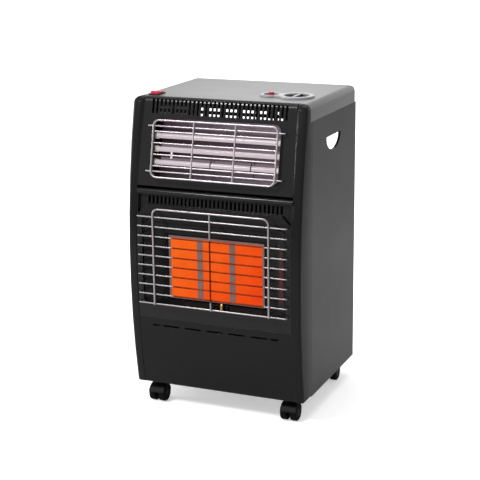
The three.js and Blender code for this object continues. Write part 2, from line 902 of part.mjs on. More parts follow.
// A row of long slots with a short one at each end.
function apronSlots() {
  const last = (apronLongSlots * apronSlotPitch + apronSlotShort) / 2;
  const long = centred(apronLongSlots, apronSlotPitch).map((x) => [x, apronSlotLong]);
  const rows = [...long, [-last, apronSlotShort], [last, apronSlotShort]];
  return rows.map(([x, width]) => (
    throughFront(slotShape(x, apronSlotZ, width, apronSlotHeight), 1, bowY(apronSlotZ) + returnDepth)
  ));
}

function frontSurround() {
  const heights = levels(bottomZ, topZ, topRadius, footRadius, bowSteps);
  const shrink = (cabinetHeight - 2 * surroundWall) / cabinetHeight;
  const outer = loft(heights.map((z) => (
    surroundRing(z, edgeInset(z, topRadius, footRadius), 0, surroundRearY)
  )));
  const cavity = loft(heights.map((z) => {
    const inset = edgeInset(z, topRadius, footRadius);
    const lowered = bottomZ + surroundWall + (z - bottomZ) * shrink;
    return surroundRing(lowered, inset, surroundWall, surroundRearY + over);
  }));
  const opening = throughFront(fasciaField(apronTop, topZ + returnDepth, 0));
  const aroundOpening = throughFront(fasciaField(apronTop, topZ + returnDepth, surroundWall));
  const edgeBand = bowBand(stepLow, returnDepth, halfWidth);
  const returns = cut(aroundOpening, opening).intersect(edgeBand).intersect(outer);
  const footOpening = box(
    footFlange - halfWidth, halfWidth - footFlange, bowY(bottomZ) + footRadius + footFlange, 0,
    bottomZ - over, bottomZ + surroundWall + over,
  );
  const pastSide = halfWidth + over;
  const behindCover = box(-pastSide, pastSide, coverFrontY - fit, 0, panelTop - fit, topZ + over);
  return cut(join(cut(outer, cavity, opening), returns), footOpening, behindCover, ...apronSlots());
}

// The side profile of the upper fascia, drawn in by a wall and run on past its open edges.
function upperProfile(draw, past) {
  const high = topZ - draw;
  const bendZ = topZ - fasciaTopRadius;
  const front = levels(fasciaSplitZ - past, bendZ, 0, 0, fasciaSteps).map((z) => [fasciaY(z) + draw, z]);
  const bent = arc(fasciaY(bendZ) + fasciaTopRadius, bendZ, fasciaTopRadius - draw, 2 * quarter, quarter);
  const rear = coverFrontY - joint + past;
  return outline([...front, ...bent.slice(1), [rear, high], [rear, fasciaSplitZ - past]]);
}

function windowShape(grow) {
  return roundedRect(
    -windowHalf - grow, windowHalf + grow, windowBottom - grow, windowTop + grow, windowRadius + grow,
  );
}

function upperFascia() {
  const field = throughFront(fasciaField(fasciaSplitZ, topZ + returnDepth, -fit));
  const inner = throughFront(fasciaField(fasciaSplitZ, topZ + returnDepth, -fit - surroundWall));
  const block = prism('x', upperProfile(0, 0), -halfWidth, halfWidth).intersect(field);
  const skin = block.subtract(prism('x', upperProfile(surroundWall, over), -halfWidth, halfWidth));
  const edges = block.subtract(inner).intersect(bowBand(0, returnDepth, halfWidth, fasciaY));
  const frame = cut(throughFront(windowShape(surroundWall)), throughFront(windowShape(0)));
  const lip = frame.intersect(bowBand(0, surroundWall + windowLip, halfWidth, fasciaY));
  const ventHeight = upperVentRun + returnDepth;
  const ventMiddle = upperVentBottom + ventHeight / 2;
  const ventEndY = coverFrontY - upperVentBack;
  const vents = centred(ventCount, ventPitch).map((x) => (
    throughFront(slotShape(x, ventMiddle, ventWidth, ventHeight), 1, ventEndY)
  ));
  return cut(join(skin, edges, lip), throughFront(windowShape(0)), ...vents);
}

// The sunk strip under the lip of the lower fascia, with its lower corners cut off.
function stripShape(grow) {
  const half = stripHalf + grow;
  const bottom = stripBottom - grow;
  const top = lipBottom + grow;
  const shoulder = bottom - stripCorner;
  return outline([
    [-half, top], [-half, shoulder], [stripCorner - half, bottom], [half - stripCorner, bottom],
    [half, shoulder], [half, top],
  ]);
}

function recessShape(grow) {
  return roundedRect(
    -recessHalf - grow, recessHalf + grow, recessBottom - grow, recessTop + grow, recessRadius + grow,
  );
}

function lowerFascia() {
  const field = throughFront(fasciaField(apronTop, lipTop, -fit));
  const inner = throughFront(fasciaField(apronTop, lipTop, -fit - surroundWall));
  const skin = bowBand(stepLow, stepLow + surroundWall, halfWidth).intersect(field);
  const edges = field.subtract(inner).intersect(bowBand(stepLow, returnDepth, halfWidth));
  const floorDepth = stepLow + stripDepth;
  const stripBox = throughFront(stripShape(surroundWall));
  const stripHole = throughFront(stripShape(0)).intersect(bowBand(-returnDepth, floorDepth, halfWidth));
  const strip = stripBox.intersect(bowBand(stepLow, floorDepth + surroundWall, halfWidth));
  const lipMiddle = (lipTop + lipBottom) / 2;
  const lipY = fasciaY(lipMiddle) + lipHeight / 2 - lipProud;
  const lipHalf = fasciaLowHalf - fit;
  const lip = rod([-lipHalf, lipY, lipMiddle], [lipHalf, lipY, lipMiddle], lipHeight / 2);
  const vents = centred(ventCount, ventPitch).map((x) => (
    throughFront(slotShape(x, lowerVentTop - lowerVentHeight / 2, ventWidth, lowerVentHeight), 1)
  ));
  const body = cut(join(skin, edges, strip), stripHole, ...vents, throughFront(recessShape(0)));
  return join(body, lip.intersect(field));
}

// Points round a rectangle with rounded corners, for a ring that facing() stands up.
function uprightRing(half, low, high, radius, forward) {
  const points = [
    ...arc(half - radius, high - radius, radius, 0, quarter),
    ...arc(radius - half, high - radius, radius, quarter, 2 * quarter),
    ...arc(radius - half, low + radius, radius, 2 * quarter, 3 * quarter),
    ...arc(half - radius, low + radius, radius, 3 * quarter, 4 * quarter),
  ];
  return points.map(([x, z]) => [x, z, forward]);
}

// The recess as a solid funnel: its floor, the splay, and the mouth run on past the bow.
function recessFunnel(grow, floorY) {
  const floor = [
    recessFloorHalf + grow, recessFloorBottom - grow, recessFloorTop + grow, recessFloorRadius + grow,
  ];
  const mouth = [recessHalf + grow, recessBottom - grow, recessTop + grow, recessRadius + grow];
  return loft([
    uprightRing(...floor, -floorY),
    uprightRing(...floor, -recessFloorY + grow),
    uprightRing(...mouth, -recessSlopeY + grow),
    uprightRing(...mouth, -lowerGuardY),
  ], 'y');
}

function burnerRecess() {
  const floorBack = recessFloorY + recessSheet;
  const shell = recessFunnel(recessSheet, floorBack).subtract(recessFunnel(0, recessFloorY));
  const floor = prism('y', roundedRect(
    -recessFloorHalf, recessFloorHalf, recessFloorBottom, recessFloorTop, recessFloorRadius,
  ), recessFloorY, floorBack);
  const slotHalf = pilotSpread + pilotSlotEnd;
  const skirt = box(
    pilotX - slotHalf - pilotSkirtEnd, pilotX + slotHalf + pilotSkirtEnd, recessFloorY, floorBack,
    pilotSkirtBottom, recessFloorBottom,
  );
  const aperture = box(
    -burnerHalf - burnerGap, burnerHalf + burnerGap, recessSlopeY, 0,
    burnerBottom - burnerGap, burnerTop + burnerGap,
  );
  const pilotSlot = box(
    pilotX - slotHalf, pilotX + slotHalf, pilotY - pilotSlotHalfDepth, pilotY + pilotSlotHalfDepth,
    pilotSkirtBottom, recessFloorBottom + pilotSlotHead,
  );
  const beforeFascia = bowBand(farFrontY - bowTopY, stepLow + surroundWall + fit, halfWidth);
  return cut(join(shell, floor, skirt), aperture, pilotSlot, beforeFascia);
}

// ---------------------------------------------------------------------------------------
// Cabinet
// ---------------------------------------------------------------------------------------

// A box on one side of the cabinet: x counts outwards from the middle.
function sideBox(side, x0, x1, ...rest) {
  return side > 0 ? box(x0, x1, ...rest) : box(-x1, -x0, ...rest);
}

function sidePrism(side, shape, x0, x1, curveSegments) {
  return side > 0 ? prism('x', shape, x0, x1, curveSegments) : prism('x', shape, -x1, -x0, curveSegments);
}

// Half-moon hand hole: straight along its top, round below.
function handHoleShape(grow) {
  const middle = (handHoleFrontY + handHoleRearY) / 2;
  const half = (handHoleRearY - handHoleFrontY) / 2 + grow;
  const drop = handHoleHeight - handHoleSide + grow;
  const shape = new THREE.Shape();
  shape.moveTo(middle + half, handHoleTop + grow);
  shape.lineTo(middle - half, handHoleTop + grow);
  shape.absellipse(middle, handHoleTop - handHoleSide, half, drop, Math.PI, 2 * Math.PI);
  shape.closePath();
  return shape;
}

function sidePanel(side) {
  const front = surroundRearY + joint;
  const top = panelTop - fit;
  const inward = halfWidth - flange;
  const outer = sideBox(side, inward, halfWidth, front, rearY, bottomZ, top);
  const inner = sideBox(
    side, inward - over, panelInner, front - over, rearY - sheet, bottomZ + sheet, top - sheet,
  );
  const lip = sidePrism(
    side, handHoleShape(sheet), halfWidth - handHoleLip, halfWidth - sheet / 2, handHoleSteps,
  );
  const hole = sidePrism(side, handHoleShape(0), inward, halfWidth + over, handHoleSteps);
  return cut(join(cut(outer, inner), lip), hole);
}

// The plan of the top cover at a height, drawn in by a wall.
function coverRing(z, inset, wall, front) {
  const draw = inset + wall;
  const side = halfWidth - draw;
  const rear = rearY - draw;
  const radius = Math.max(rearCornerRadius - draw, over);
  const corners = [
    ...arc(side - radius, rear - radius, radius, 0, quarter),
    ...arc(radius - side, rear - radius, radius, quarter, 2 * quarter),
  ];
  return [[side, front], ...corners, [-side, front]].map(([x, y]) => [x, y, z]);
}

function topCover() {
  const heights = [panelTop, ...arc(0, topZ - topRadius, topRadius, 0, quarter).map(([, z]) => z)];
  const outer = loft(heights.map((z) => coverRing(z, edgeInset(z, topRadius, 0), 0, coverFrontY)));
  const inner = loft(heights.map((z, index) => {
    const lowered = index === 0 ? z - over : z - coverSheet;
    return coverRing(lowered, edgeInset(z, topRadius, 0), coverSheet, coverFrontY - over);
  }));
  const low = coverUnderside - over;
  const high = topZ + over;
  const seatHalfX = switchWidth / 2 + seatGap;
  const seatHalfY = switchLength / 2 + seatGap;
  const switchSeat = box(
    switchX - seatHalfX, switchX + seatHalfX, switchY - seatHalfY, switchY + seatHalfY, seatZ, high,
  );
  const plateSeat = controlOutline(-seatGap, seatZ, high);
  const wellHoles = [[knobX, knobWellRadius], [buttonX, buttonWellRadius]].map(([x, radius]) => (
    rod([x, controlY, low], [x, controlY, high], radius + wellWall + 2 * runGap)
  ));
  const switchHole = box(
    switchX - switchWidth / 2 + switchRim - fit, switchX + switchWidth / 2 - switchRim + fit,
    switchY - switchLength / 2 + switchRim - fit, switchY + switchLength / 2 - switchRim + fit,
    low, high,
  );
  const cableHole = rod([glandX, rearY - flange, glandZ], [glandX, rearY + over, glandZ], glandRadius + fit);
  return cut(outer, inner, plateSeat, switchSeat, ...wellHoles, switchHole, cableHole);
}

function baseTray() {
  const front = bowY(bottomZ) + footRadius + surroundWall + fit;
  const plan = (draw) => (
    roundedRect(draw - trayHalf, trayHalf - draw, front + draw, trayRear - draw, trayCorner - draw)
  );
  const outer = prism('z', plan(0), trayFloor, trayFloor + trayWall);
  const inner = prism('z', plan(sheet), trayFloor + sheet, trayFloor + trayWall + over);
  const tongueTop = rearCoverBottom - fit;
  const doorHalf = trayHalf - trayDoorMargin;
  const wallTop = trayFloor + trayWall;
  const doorway = box(-doorHalf, doorHalf, trayRear - 2 * sheet, trayRear + over, tongueTop, wallTop + over);
  const tongues = [-tongueX, tongueX].map((x) => box(
    x - tongueWidth / 2, x + tongueWidth / 2, trayRear - sheet, rearY + rearCoverDish + tongueEnd,
    tongueTop - sheet, tongueTop,
  ));
  const sockets = casterPlaces.map(([x, y]) => (
    rod([x, y, trayFloor - over], [x, y, trayFloor + sheet + over], socketRadius, smallSides)
  ));
  return cut(join(cut(outer, inner, doorway), ...tongues), ...sockets);
}

function rearCrossbar() {
  const half = panelInner - fit;
  const rear = rearY - sheet - fit;
  const web = box(-half, half, rear - sheet, rear, barBottom, barTop);
  const low = box(-half, half, rear - barDepth, rear, barBottom, barBottom + sheet);
  const high = box(-half, half, rear - barDepth, rear, barTop - sheet, barTop);
  return join(web, low, high);
}

// The cover's dished pan: a rounded rectangle that slopes in from its rim to its back.
function coverPan(draw, from, to) {
  const ring = (inset, radius, y) => (
    uprightRing(rearCoverHalf - inset, rearCoverBottom + inset, rearCoverTop - inset, radius, -y)
  );
  const rim = rearCoverRim + draw;
  return loft([ring(rim + rearCoverSlope, rearCoverCorner, to - draw), ring(rim, dishCorner, from)], 'y');
}

function rearCover() {
  const front = rearY + fit;
  const dishY = rearY + rearCoverDish;
  const low = rearCoverBottom + rearCoverRim + rearCoverSlope;
  const high = rearCoverTop - rearCoverRim - rearCoverSlope;
  const rimPlate = prism('y', roundedRect(
    -rearCoverHalf, rearCoverHalf, rearCoverBottom, rearCoverTop, rearCoverCorner,
  ), front, front + rearCoverSheet);
  const ledgeHalf = rearCoverHalf - rearCoverCorner;
  const ledge = box(-ledgeHalf, ledgeHalf, front, dishY, rearCoverBottom, rearCoverBottom + rearCoverSheet);
  const ribs = [-ribX, ribX].map((x) => prism('z', outline([
    [x - ribHalf, dishY - rearCoverSheet / 2], [x - ribHalf / 2, dishY + ribRise],
    [x + ribHalf / 2, dishY + ribRise], [x + ribHalf, dishY - rearCoverSheet / 2],
  ]), low + ribInset, high - ribInset));
  const louvre = (x, z) => box(
    x - louvreLength / 2, x + louvreLength / 2, front - over, dishY + over, z, z + louvreHeight,
  );
  const louvres = [low + louvreInset, high - louvreInset].flatMap((middle) => (
    centred(louvreRows, louvrePitchZ).flatMap((dz) => (
      centred(louvreColumns, louvrePitchX).map((x) => louvre(x, middle + dz))
    ))
  ));
  const whole = join(rimPlate, ledge, coverPan(0, front, dishY), ...ribs);
  return cut(whole, coverPan(rearCoverSheet, front - over, dishY), ...louvres);
}

function innerShield() {
  const half = halfWidth - surroundWall - fit;
  const top = coverUnderside - fit;
  const bottom = trayFloor + sheet + trayGap;
  const near = shieldY - over;
  const far = shieldY + sheet + over;
  const plate = box(-half, half, shieldY, shieldY + sheet, bottom, top);
  const corners = [-1, 1].map((side) => (
    sideBox(side, half - topRadius, half + over, near, far, topZ - topRadius - footRadius, topZ)
  ));
  const besideTray = [-1, 1].map((side) => (
    sideBox(side, trayHalf - sheet - fit, half + over, near, far, bottom - over, trayFloor + trayWall + fit)
  ));
  const slot = (x, z, length, height) => (
    box(x - length / 2, x + length / 2, near, far, z - height / 2, z + height / 2)
  );
  const ventXs = centred(shieldVentCount, shieldVentPitch);
  const vents = shieldVentDrops.flatMap((drop) => (
    ventXs.map((x) => slot(x, topZ - drop, shieldVentLength, shieldVentHeight))
  ));
  const airSlots = centred(apronLongSlots, apronSlotPitch).map((x) => (
    slot(x, shieldAirZ, apronSlotLong, shieldAirHeight)
  ));
  const pipeHoles = [[supplyPipeX, manifoldZ, supplyPipeRadius], [pilotPipeX, pilotPipeZ, pilotPipeRadius]]
    .map(([x, z, radius]) => rod([x, near, z], [x, far, z], radius + shieldPipeGap, smallSides));
  return cut(plate, ...corners, ...besideTray, ...vents, ...airSlots, ...pipeHoles);
}

// ---------------------------------------------------------------------------------------
// Gas burner
// ---------------------------------------------------------------------------------------

// An open tube with a bell mouth, let into the bottom of the burner housing.
function mixingTube(x) {
  const top = burnerBottom + sheet;
  const low = burnerBottom - mixingTubeLength;
  const inner = mixingTubeRadius - mixingTubeWall;
  return turned([
    [inner, low + bellHeight], [bellRadius - mixingTubeWall, low], [bellRadius, low],
    [mixingTubeRadius, low + bellHeight], [mixingTubeRadius, top], [inner, top],
  ], x, mixingTubeY);
}

function burnerHousing() {
  const outer = box(-burnerHalf, burnerHalf, plaqueY, burnerBackY, burnerBottom, burnerTop);
  const inner = box(
    sheet - burnerHalf, burnerHalf - sheet, plaqueY - over, burnerBackY - sheet,
    burnerBottom + sheet, burnerTop - sheet,
  );
  const flangeY = recessFloorY + recessSheet + fit;
  const reach = burnerGap + burnerFlange;
  const collar = box(
    -burnerHalf - reach, burnerHalf + reach, flangeY, flangeY + sheet,
    burnerBottom + sheet, burnerTop + burnerFlange,
  );
  const holes = plaqueXs.map((x) => rod(
    [x, mixingTubeY, burnerBottom - over], [x, mixingTubeY, burnerBottom + sheet + over],
    mixingTubeRadius - mixingTubeWall,
  ));
  return join(cut(join(outer, collar), inner, ...holes), ...plaqueXs.map(mixingTube));
}

function burnerFrame() {
  const plate = box(-burnerHalf, burnerHalf, burnerFaceY, burnerFaceY + sheet, burnerBottom, burnerTop);
  const windows = plaqueXs.map((x) => box(
    x - plaqueWidth / 2, x + plaqueWidth / 2, burnerFaceY - over, burnerFaceY + sheet + over,
    burnerBottom + burnerBorder, burnerTop - burnerBorder,
  ));
  return cut(plate, ...windows);
}

function ceramicPlaque(x) {
  const half = plaqueWidth / 2 + plaqueEdge;
  return box(
    x - half, x + half, plaqueY, plaqueY + plaqueThickness,
    burnerBottom + burnerBorder - plaqueEdge, burnerTop - burnerBorder + plaqueEdge,
  );
}

// A pipe under the mixing tubes with an injector for each, hung from the shield by two straps.
function gasManifold() {
  const y = mixingTubeY;
  const pipe = rod([-manifoldHalf, y, manifoldZ], [manifoldHalf, y, manifoldZ], manifoldRadius);
  const shoulder = manifoldZ + manifoldRadius + injectorHeight;
  const injectors = plaqueXs.flatMap((x) => [
    rod([x, y, manifoldZ], [x, y, shoulder], injectorRadius, boltSides),
    rod([x, y, shoulder - over], [x, y, shoulder + injectorTip], injectorRadius - over, boltSides, injectorTipRadius),
  ]);
  const strapX = manifoldHalf - strapInset;
  const strapEnd = shieldY - fit;
  const strapTop = manifoldZ + strapSheet / 2;
  const straps = [-strapX, strapX].flatMap((x) => [
    box(x - strapWidth / 2, x + strapWidth / 2, y, strapEnd, strapTop - strapSheet, strapTop),
    box(x - strapWidth / 2, x + strapWidth / 2, strapEnd - sheet, strapEnd, manifoldZ - strapLeg, strapTop),
  ]);
  return join(pipe, ...injectors, ...straps);
}

function pilotBracket() {
  const front = pilotY - pilotTubeRadius - pilotShelfNose;
  const rear = recessFloorY - fit;
  const left = pilotX - pilotSpread - pilotShelfEnd;
  const right = pilotX + pilotSpread + pilotShelfEnd;
  const top = pilotShelfZ + pilotShelfSheet;
  const shelf = box(left, right, front, rear, pilotShelfZ, top);
  const leg = box(left, right, rear - pilotShelfSheet, rear, pilotSkirtBottom + over, top);
  const held = [
    [pilotX, pilotTubeRadius], [pilotX - pilotSpread, electrodeRadius],
    [pilotX + pilotSpread, thermocoupleRadius],
  ];
  const holes = held.map(([x, radius]) => (
    rod([x, pilotY, pilotShelfZ - over], [x, pilotY, top + over], radius + fit)
  ));
  return cut(join(shelf, leg), ...holes);
}

function pilotBurner() {
  const low = pilotShelfZ - pilotNutHeight;
  const nut = rod([pilotX, pilotY, low], [pilotX, pilotY, pilotShelfZ - fit], pilotNutRadius, boltSides);
  const tube = rod([pilotX, pilotY, low], [pilotX, pilotY, pilotTipZ], pilotTubeRadius);
  const portTop = pilotTipZ - pilotPortDrop;
  const port = box(
    pilotX - pilotPortWidth / 2, pilotX + pilotPortWidth / 2,
    pilotY - pilotTubeRadius - over, pilotY + pilotTubeRadius + over, portTop - pilotPortHeight, portTop,
  );
  return cut(join(nut, tube), port);
}

function sparkElectrode() {
  const shoulder = pilotTipZ - electrodeTip;
  return turned([
    [0, pilotShelfZ - electrodeTail], [electrodeRadius, pilotShelfZ - electrodeTail],
    [electrodeRadius, shoulder - electrodeTaper], [electrodeRadius / 2, shoulder],
    [electrodePinRadius, shoulder], [electrodePinRadius, pilotTipZ], [0, pilotTipZ + electrodePinRadius],
  ], pilotX - pilotSpread, pilotY);
}

function thermocouple() {
  const low = pilotShelfZ + pilotShelfSheet + fit;
  const high = low + thermocoupleCollar;
  return turned([
    [0, pilotShelfZ - thermocoupleTail], [thermocoupleRadius, pilotShelfZ - thermocoupleTail],
    [thermocoupleRadius, low], [thermocoupleCollarRadius, low], [thermocoupleCollarRadius, high],
    [thermocoupleRadius, high], [thermocoupleRadius, pilotTipZ - over], [0, pilotTipZ + over],
  ], pilotX + pilotSpread, pilotY);
}

// ---------------------------------------------------------------------------------------
// Gas tap and pipes
// ---------------------------------------------------------------------------------------

function gasValve() {
  const half = valveWidth / 2;
  const shoulder = valveTopZ - valveShoulder;
  const body = box(knobX - half, knobX + half, controlY - half, controlY + half, valveBottomZ, shoulder);
  const neck = rod([knobX, controlY, shoulder - over], [knobX, controlY, valveTopZ], valveNeckRadius);
  const near = half - over;
  const far = half + outletLength;
  const nut = (start, end, radius) => rod(start, end, radius + outletNutWall, boltSides);
  const outlets = [
    nut([knobX + near, controlY, outletZ], [knobX + far, controlY, outletZ], supplyPipeRadius),
    nut([knobX, controlY - near, outletZ], [knobX, controlY - far, outletZ], pilotPipeRadius),
  ];
  const magnetEnd = knobX - half - magnetLength;
  const magnet = rod([knobX - near, controlY, outletZ], [magnetEnd, controlY, outletZ], magnetRadius);
  const boreEnd = valveTopZ - stemDrop - knobTravel - stemEnd;
  const boreRadius = stemRadius + valveBoreGap;
  const bore = rod([knobX, controlY, boreEnd], [knobX, controlY, valveTopZ + over], boreRadius);
  return cut(join(body, neck, ...outlets, magnet), bore);
}

// A plate over the tap, hung from the top cover by a wall and a foot on each side.
function valveBracket() {
  const top = coverUnderside - fit;
  const front = controlY - bracketHalfY;
  const rear = controlY + bracketHalfY;
  const across = (from, to, low, high) => (side) => (
    box(...[knobX + side * from, knobX + side * to].sort((a, b) => a - b), front, rear, low, high)
  );
  const wall = across(bracketHalfX - bracketSheet, bracketHalfX, bracketPlateZ, top);
  const foot = across(bracketHalfX - bracketSheet, bracketHalfX + bracketFoot, top - bracketSheet, top);
  const plateTopZ = bracketPlateZ + bracketSheet;
  const plate = box(knobX - bracketHalfX, knobX + bracketHalfX, front, rear, bracketPlateZ, plateTopZ);
  const low = bracketPlateZ - over;
  const stemHole = rod([knobX, controlY, low], [knobX, controlY, topZ], stemRadius + bracketHoleGap);
  const cupRadius = buttonWellRadius + wellWall;
  const buttonHole = rod([buttonX, controlY, low], [buttonX, controlY, topZ], cupRadius + runGap);
  return cut(join(plate, ...[-1, 1].flatMap((side) => [wall(side), foot(side)])), stemHole, buttonHole);
}

function valveStem() {
  const top = knobBottomZ + stemHead - fit;
  return rod([knobX, controlY, valveTopZ - stemDrop], [knobX, controlY, top], stemRadius);
}

function controlKnob() {
  const top = knobBottomZ + knobDisc;
  const disc = turned([
    [0, knobBottomZ], [knobRadius, knobBottomZ], [knobRadius, top - knobBevel],
    [knobRadius - knobBevel, top], [0, top],
  ], knobX, controlY, discSides);
  const half = knobRadius - knobBarInset;
  const barHalf = half - knobBarSlope;
  const bar = prism('x', outline([
    [controlY - half, top - over], [controlY + half, top - over], [controlY + barHalf, top + knobBarHeight],
    [controlY - barHalf, top + knobBarHeight],
  ]), knobX - knobBarWidth / 2, knobX + knobBarWidth / 2);
  const socketTop = knobBottomZ + stemHead;
  const socket = rod([knobX, controlY, knobBottomZ - over], [knobX, controlY, socketTop], stemRadius + fit);
  return cut(join(disc, bar), socket);
}

function supplyPipe() {
  const start = knobX + valveWidth / 2 + outletLength + fit;
  return wire([
    [start, controlY, outletZ], [supplyPipeX, controlY, outletZ], [supplyPipeX, supplyPipeY, outletZ],
    [supplyPipeX, supplyPipeY, manifoldZ], [supplyPipeX, mixingTubeY, manifoldZ],
    [manifoldHalf + fit, mixingTubeY, manifoldZ],
  ], pipeBend, supplyPipeRadius);
}

function pilotPipe() {
  const start = controlY - valveWidth / 2 - outletLength - fit;
  return wire([
    [knobX, start, outletZ], [knobX, pilotPipeY, outletZ], [pilotPipeX, pilotPipeY, outletZ],
    [pilotPipeX, pilotPipeY, pilotPipeZ], [pilotPipeX, pilotY, pilotPipeZ], [pilotX, pilotY, pilotPipeZ],
    [pilotX, pilotY, pilotShelfZ - pilotNutHeight - fit],
  ], pipeBend / 2, pilotPipeRadius, wireSides, wireBendSteps);
}

// A turned solid round an axis along Y that starts at a place, from a [radius, along] profile.
function turnedBack(profile, x, y, z, sides) {
  const points = profile.map(([radius, along]) => new THREE.Vector2(radius, along));
  const geometry = new THREE.LatheGeometry([...points, points[0]], sides);
  geometry.translate(x, y, z);
  return solid(geometry);
}

function hoseNozzle() {
  const neck = nozzleCollar + nozzleNeck;
  const barbs = repeat(barbCount, (index) => neck + index * barbPitch)
    .flatMap((along) => [[barbRadius, along], [nozzleRadius, along + barbPitch]]);
  return turnedBack([
    [nozzleBore, 0], [nozzleCollarRadius, 0], [nozzleCollarRadius, nozzleCollar],
    [nozzleRadius, nozzleCollar], [nozzleRadius, neck], ...barbs, [nozzleBore, neck + barbCount * barbPitch],
  ], knobX, controlY + valveWidth / 2 + fit, outletZ, smallSides);
}

// ---------------------------------------------------------------------------------------
// Controls on the top
// ---------------------------------------------------------------------------------------

// Two discs joined by a waist, drawn in by an amount, from one height to another.
function controlOutline(draw, from, to) {
  const knobRim = rod([knobX, controlY, from], [knobX, controlY, to], knobRimRadius - draw, discSides);
  const buttonRim = rod([buttonX, controlY, from], [buttonX, controlY, to], buttonRimRadius - draw);
  const nearKnob = waistNearKnob - draw;
  const nearButton = waistNearButton - draw;
  const waist = prism('z', outline([
    [buttonX, controlY - nearButton], [knobX - waistEnd, controlY - nearKnob],
    [knobX - waistEnd, controlY + nearKnob], [buttonX, controlY + nearButton],
  ]), from, to);
  return join(knobRim, buttonRim, waist);
}

// The cup of a well in the control plate, and what it hollows out.
function well(x, radius, depth, hole) {
  const floor = plateTop - depth;
  const cup = rod([x, controlY, floor - wellWall], [x, controlY, plateTop - plateBevel], radius + wellWall);
  const hollow = rod([x, controlY, floor], [x, controlY, plateTop + over], radius, discSides);
  const passage = rod([x, controlY, floor - wellWall - over], [x, controlY, floor + over], hole);
  return { cup, hollow: join(hollow, passage) };
}

function controlPlate() {
  const shoulder = plateTop - plateBevel;
  const base = controlOutline(0, seatZ + fit, shoulder);
  const rise = join(base, controlOutline(plateBevel, shoulder - fit, plateTop));
  const knobWell = well(knobX, knobWellRadius, knobWellDepth, stemRadius + runGap);
  const buttonWell = well(buttonX, buttonWellRadius, buttonWellDepth, buttonRadius + runGap);
  return cut(join(rise, knobWell.cup, buttonWell.cup), knobWell.hollow, buttonWell.hollow);
}

function piezoIgniter() {
  const top = buttonFloorZ - wellWall - fit;
  const low = top - igniterLength;
  const body = rod([buttonX, controlY, low], [buttonX, controlY, top], igniterRadius);
  const pinEnd = low - igniterPin;
  const pin = rod([buttonX, controlY, pinEnd], [buttonX, controlY, low + over], igniterPinRadius, smallSides);
  const boreEnd = buttonTopZ - buttonLength - buttonTravel - over;
  const bore = rod([buttonX, controlY, boreEnd], [buttonX, controlY, top + over], buttonRadius + runGap);
  return cut(join(body, pin), bore);
}

function igniterButton() {
  const low = buttonTopZ - buttonLength;
  return turned([
    [0, low], [buttonRadius, low], [buttonRadius, buttonTopZ - buttonBevel],
    [buttonRadius - buttonBevel, buttonTopZ], [0, buttonTopZ],
  ], buttonX, controlY);
}

function switchHousing() {
  const rimTop = topZ + fit + switchRim;
  const low = topZ - switchDepth;
  const about = (halfX, halfY, from, to) => (
    box(switchX - halfX, switchX + halfX, switchY - halfY, switchY + halfY, from, to)
  );
  const rim = about(switchWidth / 2, switchLength / 2, seatZ + fit, rimTop);
  const body = about(switchWidth / 2 - switchRim, switchLength / 2 - switchRim, low, topZ + switchRim);
  const cavity = about(
    rockerWidth / 2 + runGap, rockerLength / 2 + switchPlay, rockerPivotZ - switchWell, rimTop + over,
  );
  const blades = [-bladePitch, 0, bladePitch].map((dy) => blade(switchX, switchY + dy, low));
  return cut(join(rim, body, ...blades), cavity);
}

// A flat terminal blade that hangs down from a height.
function blade(x, y, z) {
  const halfY = bladeSheet / 2;
  return box(x - bladeWidth / 2, x + bladeWidth / 2, y - halfY, y + halfY, z - bladeLength, z + over);
}

// The rocker about its pivot, before it is turned to its rest position.
function switchRocker() {
  const half = rockerLength / 2;
  const belly = arc(0, 0, rockerBelly, 2 * quarter, 4 * quarter, 2 * bowSteps);
  const end = half - over;
  return prism('x', outline([
    ...belly, [end, over], [half, rockerRise - rockerNose], [end, rockerRise], [0, rockerRise - rockerDip],
    [-end, rockerRise], [-half, rockerRise - rockerNose], [-end, over],
  ]), -rockerWidth / 2, rockerWidth / 2);
}

// ---------------------------------------------------------------------------------------
// Electric section, built square to the upper guard and then tilted with the fascia
// ---------------------------------------------------------------------------------------

// The reflector's section as [depth, height], one scoop behind each tube. Its upper and
// lower edges reach past the window's lip, seen level through the sloping fascia.
function reflectorLine(grow) {
  const lean = reflectorFront * Math.tan(windowTilt);
  const high = windowHalfHeight + reflectorOverlap + lean + grow;
  const low = -windowHalfHeight - reflectorOverlap + lean - grow;
  const brow = reflectorDepth - reflectorBrow;
  const cusp = reflectorDepth - troughSagitta;
  const radius = ((tubePitch / 2) ** 2 + troughSagitta ** 2) / (2 * troughSagitta);
  const spread = Math.asin(tubePitch / 2 / radius);
  const scoops = tubeHeights.flatMap((height) => (
    arc(reflectorDepth - radius + grow, height, radius, -spread, spread, troughSteps).slice(1, -1)
      .concat([[cusp + grow, height + tubePitch / 2]])
  ));
  const firstCusp = (-tubeCount / 2) * tubePitch;
  return [
    [reflectorFront, low], [brow + grow, low + reflectorBrow / 4], [cusp + grow, firstCusp], ...scoops,
    [brow + grow, high - reflectorBrow / 4], [reflectorFront, high],
  ];
}

function elementReflector() {
  const inside = reflectorLine(0);
  const outside = reflectorLine(reflectorSheet).reverse();
  return prism('x', outline([...inside, ...outside]), -reflectorHalf, reflectorHalf);
}

